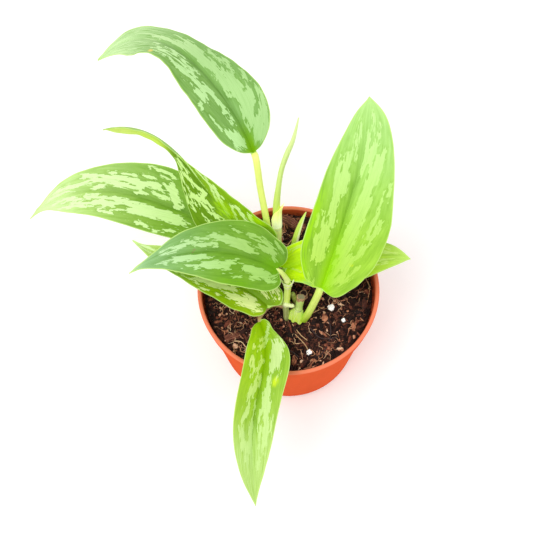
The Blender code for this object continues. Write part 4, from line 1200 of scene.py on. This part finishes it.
def young_finish(name, low, high, edge, low_at, high_at):
    """Unopened blade: fine ribs along it and a pale free edge."""
    material, shade = new_finish(name)
    layout = shade.layout()
    across = shade.node("SeparateXYZ", None, {0: layout}, "X")
    ribs = shade.streaks(layout, 40.0, 1.4, 2.0, 0.55)
    skin = shade.blend(shade.height().smooth(low_at, high_at), low, high)
    skin = shade.blend(ribs.smooth(0.4, 0.65) * 0.4, skin, tinted(low, 0.8))
    skin = shade.blend(across.smooth(0.90, 0.95), skin, edge)
    feed(shade, Base_Color=skin, Roughness=ribs * 0.1 + 0.4, Normal=shade.relief(ribs, 0.00025, 0.7))
    return material


class POTHOS_OT_young(bpy.types.Operator):
    """Make the rolled new leaf, the sprout, the two sheaths and the node's cup"""
    bl_idname = "pothos.young"
    bl_label = "Young Growth"

    def execute(self, context):
        rolled = make_scroll("rolled_leaf", ROLLED_LEAF, turns=1.45, wall=0.35, toward=(-0.5, -1, 0))
        finish = young_finish("rolled_finish", *ROLLED_LEAF_TONES)
        settle(rolled, "young_leaf", "rolled_new_leaf", finish=finish)
        sprout = make_scroll("sprout", SPROUT, turns=1.2, wall=0.4, toward=(-0.57, -0.82, 0))
        finish = young_finish("sprout_finish", *SPROUT_TONES)
        settle(sprout, "stem", "young_sprout", finish=finish)
        sheath = make_sleeve("new_sheath", NEW_SHEATH, start=-170, stop=60, tip_angle=-20, wall=0.4)
        # Painted light: the sheath glows with its own colour.
        finish = stalk_finish("sheath_finish", *NEW_SHEATH_TONES, glow=0.22)
        settle(sheath, "petiole", "new_leaf_sheath", finish=finish)
        clasp = make_collar("clasp", CLASP, start=-212, stop=-14, wall=0.4)
        finish = stalk_finish("clasp_finish", *CLASP_TONES)
        settle(clasp, "petiole", "upright_leaf_sheath", finish=finish)
        cup = make_collar("node_cup", NODE_CUP, start=-200, stop=15, wall=0.35)
        settle(cup, "petiole", finish=stalk_finish("cup_finish", *NODE_CUP_TONES))
        return {"FINISHED"}


# --- pot ------------------------------------------------------------------------------

def arc(centre, radius, start, stop, count=5):
    """Points of a round corner in a profile, degrees turning from start to stop."""
    angles = [math.radians(start + (stop - start) * i / count) for i in range(count + 1)]
    return [(centre[0] + radius * math.cos(a), centre[1] + radius * math.sin(a)) for a in angles]


def turned(name, profile, steps):
    """Solid of revolution: a circle with one point for each of the closed profile's, spun about Z."""
    bpy.ops.object.select_all(action="DESELECT")
    bpy.ops.mesh.primitive_circle_add(vertices=len(profile), radius=RIM_RADIUS * MM)
    piece = named(name)
    lay(piece, [(radius, 0.0, height) for radius, height in profile])
    bpy.ops.object.mode_set(mode="EDIT")
    bpy.ops.mesh.select_all(action="SELECT")
    bpy.ops.mesh.spin(steps=steps, angle=2 * math.pi, center=(0, 0, 0), axis=(0, 0, 1))
    bpy.ops.object.mode_set(mode="OBJECT")
    close_seams(piece)
    return piece


def pot_profile():
    """Half of the pot's section: over the floor, up the inside, round the lip and down outside."""
    rim, top = RIM_RADIUS, POT_HEIGHT
    # Floor with its raised ring, and the wall's foot inside
    outline = [(0.0, FLOOR), (30.0, FLOOR), (30.6, FLOOR + 0.5), (31.6, FLOOR + 0.5), (32.2, FLOOR)]
    outline += [(BASE_RADIUS - 5.0, FLOOR)]
    outline += arc((BASE_RADIUS - WALL - 2.6, FLOOR + 2.6), 2.6, -70, 0)
    # Ledge under the collar, and the collar inside
    outline += [(SHOULDER, STEP - 1.0)] + arc((SHOULDER + 1.4, STEP - 0.2), 1.4, 180, 110, 3)
    outline += [(rim - 2.9, STEP + 2.0), (rim - 2.7, top - 2.0)]
    # Rolled lip
    outline += arc((rim - 1.5, top - 1.25), 1.25, 165, 95) + arc((rim - 1.3, top - 1.3), 1.3, 85, 0)
    outline += [(rim - 0.15, top - 2.6), (rim - 0.55, top - 3.3)]
    # Collar outside, with its chamfered lower edge
    outline += [(rim - 1.2, STEP + 1.2), (rim - 1.3, STEP + 0.5), (rim - 1.7, STEP - 0.6)]
    outline += [(SHOULDER + WALL + 0.2, STEP - 2.4), (SHOULDER + WALL - 0.1, STEP - 3.6)]
    # Foot and the hollow under the floor
    outline += [(BASE_RADIUS + 0.35, 6.0)] + arc((BASE_RADIUS - 2.6, 2.6), 2.6, 0, -90)
    return outline + [(BASE_RADIUS - 4.5, 0.0), (BASE_RADIUS - 5.2, 0.6), (0.0, 0.6)]


class POTHOS_OT_pot(bpy.types.Operator):
    """Make the moulded nursery pot with its drain holes"""
    bl_idname = "pothos.pot"
    bl_label = "Nursery Pot"

    def execute(self, context):
        settings = context.scene.pothos_pot
        pot = turned("pot_shell", pot_profile(), settings.steps)
        modify(pot, "BOOLEAN", operation="DIFFERENCE", solver="EXACT", object=self.drain_cutter())
        bpy.data.objects.remove(bpy.data.objects["drain_cutter"])
        smooth_faces(pot, 32)
        x, y, z = points_of(pot.data).T / MM
        wall_middle = np.interp(z, (6.0, STEP - 3.0, STEP + 2.0),
                                (BASE_RADIUS - 0.5 * WALL, SHOULDER + 0.5 * WALL, RIM_RADIUS - 1.9))
        tag_points(pot, "inner", np.clip(wall_middle - np.hypot(x, y) + 0.5, 0, 1))
        settle(pot, "terracotta_plastic", "pot", finish=self.finish(settings))
        return {"FINISHED"}

    def drain_cutter(self):
        """Ring of pegs that cut the drain holes."""
        pegs = []
        for i in range(DRAIN_COUNT):
            angle = 2 * math.pi * (i + 0.5) / DRAIN_COUNT
            spot = (DRAIN_CIRCLE * MM * math.cos(angle), DRAIN_CIRCLE * MM * math.sin(angle), 0.0)
            bpy.ops.object.select_all(action="DESELECT")
            bpy.ops.mesh.primitive_cylinder_add(
                vertices=24, radius=DRAIN_RADIUS * MM, depth=8 * FLOOR * MM, location=spot)
            pegs.append(bpy.context.object)
        select_only(*pegs)
        bpy.ops.object.join()
        return named("drain_cutter")

    def finish(self, settings):
        """Moulded plastic: painted highlight along the lip, flow streaks, scuffs, and painted shade and mix
        dust inside.
        """
        material, shade = new_finish("terracotta_moulded")
        place, height = shade.place(), shade.height()
        flow = shade.noise(shade.stretch(place, 30.0, 30.0, 4.0), 3.0, 3.0, 0.6)
        scuff = shade.noise(place, 220.0, 4.0, 0.65)
        speck = shade.noise(place, 900.0, 2.0, 0.6)
        wall, lip = (*settings.wall_colour, 1.0), (*settings.lip_colour, 1.0)
        skin = shade.blend(flow.smooth(0.3, 0.7), tinted(wall, 0.96), tinted(wall, 1.03))
        # Painted highlight along the top of the lip.
        skin = shade.blend(height.smooth(POT_HEIGHT - 1.6, POT_HEIGHT - 0.4), skin, lip)
        skin = shade.blend(scuff.smooth(0.62, 0.72) * 0.15, skin, tinted(lip, 1.1))
        inside = shade.tag("inner").smooth(0.4, 0.6)
        inside = inside * (1.0 - height.smooth(POT_HEIGHT - 2.4, POT_HEIGHT - 1.0))
        dust = scuff.smooth(0.40, 0.66) * (1.0 - height.smooth(SOIL_TOP + 1.0, SOIL_TOP + 5.0))
        # Painted shade: the inside of the wall is darker below the lip.
        skin = shade.blend(inside * 0.35, skin, tinted(wall, 0.80))
        skin = shade.blend(inside * dust * 0.7, skin, (70, 38, 28))
        bumps = shade.relief(flow * 0.3 + speck * 0.4 + scuff * 0.3, 0.00022, 0.5)
        feed(shade, Base_Color=skin, Roughness=scuff * 0.15 + 0.60, Normal=bumps, Specular_IOR_Level=0.0)
        return material


# --- potting mix ----------------------------------------------------------------------

def bed_height(x, y, relief):
    """Height of the mix in millimetres: a heap at the back, and lumps of three sizes."""
    heap = HEAP_HEIGHT * math.exp(-((x - HEAP_MIDDLE) / HEAP_REACH) ** 2)
    heap *= min(max((y - HEAP_START) / HEAP_RISE, 0.0), 1.0)
    lumps = sum(share * noise.noise((x / size, y / size, seed)) for size, share, seed in BED_LUMPS)
    return SOIL_TOP + heap + relief / MM * lumps


def crumb_kinds(name, shapes, seed, detail):
    """Crumbs to copy: small balls squeezed to each shape and knocked about by their seeds."""
    kinds = []
    for i, shape in enumerate(shapes):
        jitter = random.Random(seed + i)
        bpy.ops.object.select_all(action="DESELECT")
        bpy.ops.mesh.primitive_ico_sphere_add(subdivisions=detail, radius=1.0)
        piece = named("%s_%d" % (name, i))
        points = points_of(piece.data)
        for point in points:
            point *= jitter.uniform(0.5 + 0.1 * detail, 1.2 - 0.05 * detail)
        lay(piece, points * np.array(shape))
        kinds.append(piece)
    return kinds


def thread_kinds():
    """Coir threads to copy: thin bent tubes along X, each longer than the last."""
    kinds = []
    for i in range(7):
        jitter = random.Random(i)
        length, bend, radius = 3.2 + 1.3 * i, 0.5 + 0.2 * i, 0.18 + 0.04 * (i % 3)
        knots = [
            (length * (t - 0.5), bend * jitter.uniform(-1, 1), bend * jitter.uniform(-0.25, 0.4), radius)
            for t in np.linspace(0, 1, 5)]
        tube = Tube(knots, UP, 24)
        piece, u, v = grid("thread_%d" % i, 9, 5)
        lay(piece, tube.place(u, v * math.pi, tube.caps(u)))
        close_seams(piece)
        kinds.append(piece)
    return kinds


def scatter(name, kinds, count, seed, relief, sizes, tilt, sink, reach):
    """Copy the kinds over the mix, each copy with its own mesh, and join them into one piece."""
    jitter = random.Random(seed)
    copies = []
    for i in range(count):
        copy = kinds[i % len(kinds)].copy()
        copy.data = copy.data.copy()
        bpy.context.collection.objects.link(copy)
        distance = reach * math.sqrt(jitter.random())
        angle = jitter.uniform(0, 2 * math.pi)
        x, y = distance * math.cos(angle), distance * math.sin(angle)
        size = jitter.uniform(*sizes) * (0.75 + 0.5 * jitter.random() ** 3)
        turn = Euler((jitter.gauss(0, tilt), jitter.gauss(0, tilt), jitter.uniform(0, 2 * math.pi)))
        spot = Vector((x, y, bed_height(x, y, relief) + sink * size)) * MM
        copy.matrix_world = (Matrix.Translation(spot) @ turn.to_matrix().to_4x4()
                             @ Matrix.Scale(size, 4))
        patch = 0.5 + 0.8 * noise.noise((x / 8.0, y / 8.0, 5.5))
        # Tone: random, in patches, and lighter toward -X, partly for the warmer brown lumps there and
        # partly painted light where the leaves shade the mix.
        tone = jitter.random() ** 1.8 + 0.5 * patch - 0.2 - x / 500.0
        tag_points(copy, "tone", min(max(tone, 0.0), 1.0))
        copies.append(copy)
    for kind in kinds:
        bpy.data.objects.remove(kind)
    select_only(*copies)
    bpy.ops.object.join()
    bpy.ops.object.transform_apply(location=True, rotation=True, scale=True)
    return named(name)


def mix_finish(name, stops, roughness):
    """Each crumb has its own tone, read from a ramp, with a grain over it."""
    material, shade = new_finish(name)
    grain = shade.noise(shade.place(), 700.0, 3.0, 0.6)
    skin = shade.ramp(shade.tag("tone") * 0.85 + (grain - 0.5) * 0.5 + 0.07, *stops)
    feed(shade, Base_Color=skin, Roughness=roughness, Normal=shade.relief(grain, 0.0004, 0.8),
         Specular_IOR_Level=0.35)
    return material


class POTHOS_OT_mix(bpy.types.Operator):
    """Make the potting mix: its bed, crumbs, coir fibres, straw and fine roots"""
    bl_idname = "pothos.mix"
    bl_label = "Potting Mix"

    def execute(self, context):
        settings = context.scene.pothos_mix
        relief = settings.relief
        settle(self.bed(relief), "potting_soil", "soil", finish=self.bed_finish())
        crumb_finish = mix_finish("mix_crumb_finish", CRUMB_TONES, 0.9)
        kinds = crumb_kinds("crumb", CRUMB_SHAPES, seed=0, detail=1)
        crumbs = scatter("mix_crumbs", kinds, settings.crumbs, 11, relief,
                         sizes=(0.4, 1.7), tilt=0.5, sink=0.45, reach=RIM_RADIUS - 5.0)
        settle(crumbs, "potting_soil", finish=crumb_finish)
        kinds = crumb_kinds("clod", CLOD_SHAPES, seed=40, detail=2)
        clods = scatter("mix_clods", kinds, settings.clods, 23, relief,
                        sizes=(1.3, 2.6), tilt=0.4, sink=0.35, reach=RIM_RADIUS - 7.0)
        settle(clods, "potting_soil", finish=crumb_finish)
        fibres = scatter("coir_fibres", thread_kinds(), settings.fibres, 5, relief,
                         sizes=(0.5, 1.1), tilt=0.22, sink=1.3, reach=RIM_RADIUS - 8.0)
        settle(fibres, "potting_soil", finish=mix_finish("coir_finish", COIR_TONES, 0.7))
        for name, (stops, radius, routes) in LAID.items():
            piece = self.laid(name, routes, radius, relief)
            settle(piece, "potting_soil", finish=mix_finish(name + "_finish", stops, 0.7))
        return {"FINISHED"}

    def bed(self, relief):
        """Body of the mix, from the middle of its top over the edge to the middle of its underside."""
        bottom, edge = FLOOR + 0.3, SOIL_TOP - 2.0
        top_share, side_share = 0.72, 0.90
        top_radius, low_radius = RIM_RADIUS - 3.5, BASE_RADIUS - WALL - 0.5
        piece, u, v = grid("mix_bed", 90, 150)
        top = np.clip(u / top_share, 0, 1)
        side = np.clip((u - top_share) / (side_share - top_share), 0, 1)
        under = np.clip((u - side_share) / (1 - side_share), 0, 1)
        wall = top_radius - 1.0 + (low_radius - top_radius + 1.0) * side
        radius = np.where(u <= top_share, top_radius * top, wall * (1 - under))
        x, y = radius * np.cos(v * math.pi), radius * np.sin(v * math.pi)
        heaped = np.array([bed_height(a, b, relief) for a, b in zip(x, y)])
        z = np.where(u <= top_share, heaped, edge + (bottom - edge) * side)
        lay(piece, np.stack([x, y, z], -1))
        close_seams(piece)
        smooth_faces(piece)
        return piece

    def bed_finish(self):
        # The bed is nearly black: partly the mix's own dark colour, partly painted shade in the gaps
        # between the crumbs.
        material, shade = new_finish("mix_bed_finish")
        place = shade.place()
        lumps = shade.noise(place, 330.0, 4.0, 0.7)
        fine = shade.noise(place, 1100.0, 3.0, 0.6)
        skin = shade.ramp(lumps, (0.3, (12, 7, 6)), (0.5, (40, 22, 18)), (0.75, (110, 62, 46)))
        feed(shade, Base_Color=skin, Roughness=0.95, Specular_IOR_Level=0.25,
             Normal=shade.relief(lumps * 0.7 + fine * 0.3, 0.0016, 1.0))
        return material

    def laid(self, name, routes, radius, relief):
        """Wiry roots or straw, each laid along the mix on its listed route."""
        pieces = []
        for i, route in enumerate(routes):
            points = [(x, y, bed_height(x, y, relief) + 1.3 + 0.5 * (k % 2), radius)
                      for k, (x, y) in enumerate(route)]
            pieces.append(make_tube("%s_%d" % (name, i), points, UP, rows=30, sides=7))
            tag_points(pieces[-1], "tone", 0.35 + 0.09 * i)
        select_only(*pieces)
        bpy.ops.object.join()
        return named(name)


# --- bark and perlite -----------------------------------------------------------------

def make_bark(name, spot, relief):
    """Splinter of bark: a box subdivided in edit mode, then split and worn along its grain."""
    x, y, length, width, height, turn = spot
    bpy.ops.object.select_all(action="DESELECT")
    bpy.ops.mesh.primitive_cube_add(size=1.0)
    piece = named(name)
    bpy.ops.object.mode_set(mode="EDIT")
    bpy.ops.mesh.select_all(action="SELECT")
    bpy.ops.mesh.subdivide(number_cuts=22)
    bpy.ops.object.mode_set(mode="OBJECT")
    seed = sum(map(ord, name))
    points = points_of(piece.data)
    tag_points(piece, "grain_ahead", points[:, 0] * length)
    tag_points(piece, "grain_aside", points[:, 1] * width + points[:, 2] * height)
    shaped = []
    for px, py, pz in points:
        rough = noise.noise((px * 5, py * 3, pz * 3 + seed))
        grain = noise.noise((px * 2.2, py * 16 + seed, pz * 5))
        tear = noise.noise((py * 9, pz * 5, seed + math.copysign(4, px))) * abs(px) ** 2 * 4
        worn = 1 - 0.28 * (abs(py * 2) ** 4 + abs(px * 2) ** 6) * (pz + 0.5)
        shaped.append((
            px * length * (0.92 + 0.12 * tear), py * width * (0.86 + 0.25 * rough),
            (pz + 0.5) * (height * worn + 0.35 * grain + 0.4 * rough)))
    turned_by = Matrix.Rotation(math.radians(turn), 3, "Z")
    lay(piece, np.array(shaped) @ np.array(turned_by).T + (x, y, bed_height(x, y, relief) - BARK_SINK))
    smooth_faces(piece, 30)
    return piece


def make_perlite(name, spot):
    """Popped mineral grain: a ball knocked full of pits."""
    x, y, size = spot
    bpy.ops.object.select_all(action="DESELECT")
    bpy.ops.mesh.primitive_ico_sphere_add(subdivisions=5, radius=1.0)
    piece = named(name)
    seed = sum(map(ord, name))
    shaped = []
    for point in points_of(piece.data):
        place = Vector(point) * 1.6 + Vector((seed, 0, 0))
        pits = abs(noise.noise(place * 1.8)) * 0.5 + noise.noise(place * 0.8) * 0.35
        shaped.append(point * (0.80 + pits) * size / 2 * np.array((1.0, 1.0, 0.8)))
    shaped = np.array(shaped)
    lay(piece, shaped + (x, y, SOIL_TOP + 0.3 - shaped[:, 2].min()))
    smooth_faces(piece, 70)
    return piece


def bark_finish():
    """Dark in the sunken cracks and pale on the raised ridges, along the grain."""
    material, shade = new_finish("bark_finish")
    parts = {0: shade.tag("grain_ahead") * 0.16, 1: shade.tag("grain_aside") * 1.3}
    grain = shade.noise(shade.node("CombineXYZ", None, parts), 1.0, 4.0, 0.65)
    skin = shade.ramp(grain, (0.34, (30, 15, 12)), (0.5, (124, 66, 48)), (0.68, (214, 150, 118)))
    feed(shade, Base_Color=skin, Roughness=0.88, Normal=shade.relief(grain, 0.0012, 1.0))
    return material


def perlite_finish():
    """Chalky white with darker pits."""
    material, shade = new_finish("perlite_finish")
    pits = shade.noise(shade.place(), 900.0, 3.0, 0.6)
    skin = shade.blend(pits.smooth(0.30, 0.5), (232, 220, 204), (255, 254, 250))
    # Painted light: the grains glow a little with their own colour, to look brightly lit.
    feed(shade, Base_Color=skin, Roughness=0.85, Normal=shade.relief(pits, 0.0005, 0.8),
         Emission_Color=skin, Emission_Strength=0.2)
    return material


class POTHOS_OT_bits(bpy.types.Operator):
    """Make the loose bark and perlite on the mix"""
    bl_idname = "pothos.bits"
    bl_label = "Bark and Perlite"

    def execute(self, context):
        bark, perlite = bark_finish(), perlite_finish()
        for name, spot in BARK.items():
            chip = make_bark(name + "_chip", spot, context.scene.pothos_mix.relief)
            settle(chip, "bark", name, finish=bark)
        for name, spot in PERLITE.items():
            settle(make_perlite(name + "_grain", spot), "perlite", name, finish=perlite)
        return {"FINISHED"}


# --- stage ----------------------------------------------------------------------------

class POTHOS_OT_stage(bpy.types.Operator):
    """Add the floor, the soft light and the camera"""
    bl_idname = "pothos.stage"
    bl_label = "Stage"

    CAMERA_AT = (0.0, -0.224764, 0.647310)
    CAMERA_AIM = (-0.0144, 0.0145, 0.091)
    CAMERA_ROLL = 3.2           # degrees
    LAMP_AIM = (0, 0, 0.08)

    def execute(self, context):
        settings = context.scene.pothos_stage
        bpy.ops.object.select_all(action="DESELECT")
        bpy.ops.mesh.primitive_plane_add(size=6.0, location=(0, 0, 0))
        floor = named("studio_floor")
        material, shade = new_finish("floor_finish")
        feed(shade, Base_Color=(*settings.floor_colour, 1.0), Roughness=0.9,
             Emission_Color=(1, 1, 1, 1), Emission_Strength=settings.floor_glow)
        coat(floor, material)
        world = bpy.data.worlds.new("studio_sky")
        world.use_nodes = True
        background = world.node_tree.nodes["Background"].inputs
        background["Color"].default_value = (1, 1, 1, 1)
        background["Strength"].default_value = settings.sky
        context.scene.world = world
        self.lamp("key_light", (-0.45, -0.35, 1.3), size=0.7, power=9.0)
        self.lamp("fill_light", (0.9, 0.3, 0.8), size=0.9, power=2.5)
        self.camera(context, settings)
        context.scene.view_settings.view_transform = "Standard"
        return {"FINISHED"}

    def lamp(self, name, spot, size, power):
        bpy.ops.object.light_add(type="AREA", location=spot)
        lamp = bpy.context.object
        lamp.name = name
        lamp.data.size = size
        lamp.data.energy = power
        toward = Vector(self.LAMP_AIM) - Vector(spot)
        lamp.rotation_euler = toward.to_track_quat("-Z", "Y").to_euler()

    def camera(self, context, settings):
        bpy.ops.object.camera_add(location=self.CAMERA_AT)
        camera = bpy.context.object
        camera.name = "studio_camera"
        camera.data.lens = settings.lens
        camera.data.sensor_width = 36.0
        camera.data.clip_start = 0.01
        toward = (Vector(self.CAMERA_AIM) - Vector(self.CAMERA_AT)).normalized()
        level = toward.to_track_quat("-Z", "Y")
        camera.rotation_mode = "QUATERNION"
        camera.rotation_quaternion = Quaternion(toward, math.radians(self.CAMERA_ROLL)) @ level
        context.scene.camera = camera


# --- panel and registration -----------------------------------------------------------

SETTINGS = {
    "pothos_plant": PlantSettings, "pothos_pot": PotSettings,
    "pothos_mix": MixSettings, "pothos_stage": StageSettings,
}
OPERATORS = (
    POTHOS_OT_pot, POTHOS_OT_mix, POTHOS_OT_bits, POTHOS_OT_stems, POTHOS_OT_stalks,
    POTHOS_OT_young, POTHOS_OT_leaves, POTHOS_OT_stage,
)


class POTHOS_PT_panel(bpy.types.Panel):
    """Sizes, colours and steps of the potted pothos"""
    bl_idname = "POTHOS_PT_panel"
    bl_label = "Potted Pothos"
    bl_space_type = "VIEW_3D"
    bl_region_type = "UI"
    bl_category = "Pothos"

    def draw(self, context):
        for name, group in SETTINGS.items():
            box = self.layout.box()
            for key in group.__annotations__:
                box.prop(getattr(context.scene, name), key)
        for operator in OPERATORS:
            self.layout.operator(operator.bl_idname)


def register():
    for cls in (*SETTINGS.values(), *OPERATORS, POTHOS_PT_panel):
        bpy.utils.register_class(cls)
    for name, group in SETTINGS.items():
        setattr(bpy.types.Scene, name, bpy.props.PointerProperty(type=group))


def unregister():
    for name in SETTINGS:
        delattr(bpy.types.Scene, name)
    for cls in (POTHOS_PT_panel, *reversed(OPERATORS), *SETTINGS.values()):
        bpy.utils.unregister_class(cls)


def main():
    register()
    bpy.ops.pothos.pot()
    bpy.ops.pothos.mix()
    bpy.ops.pothos.bits()
    bpy.ops.pothos.stems()
    bpy.ops.pothos.stalks()
    bpy.ops.pothos.young()
    bpy.ops.pothos.leaves()
    bpy.ops.pothos.stage()


if __name__ == "__main__":
    main()
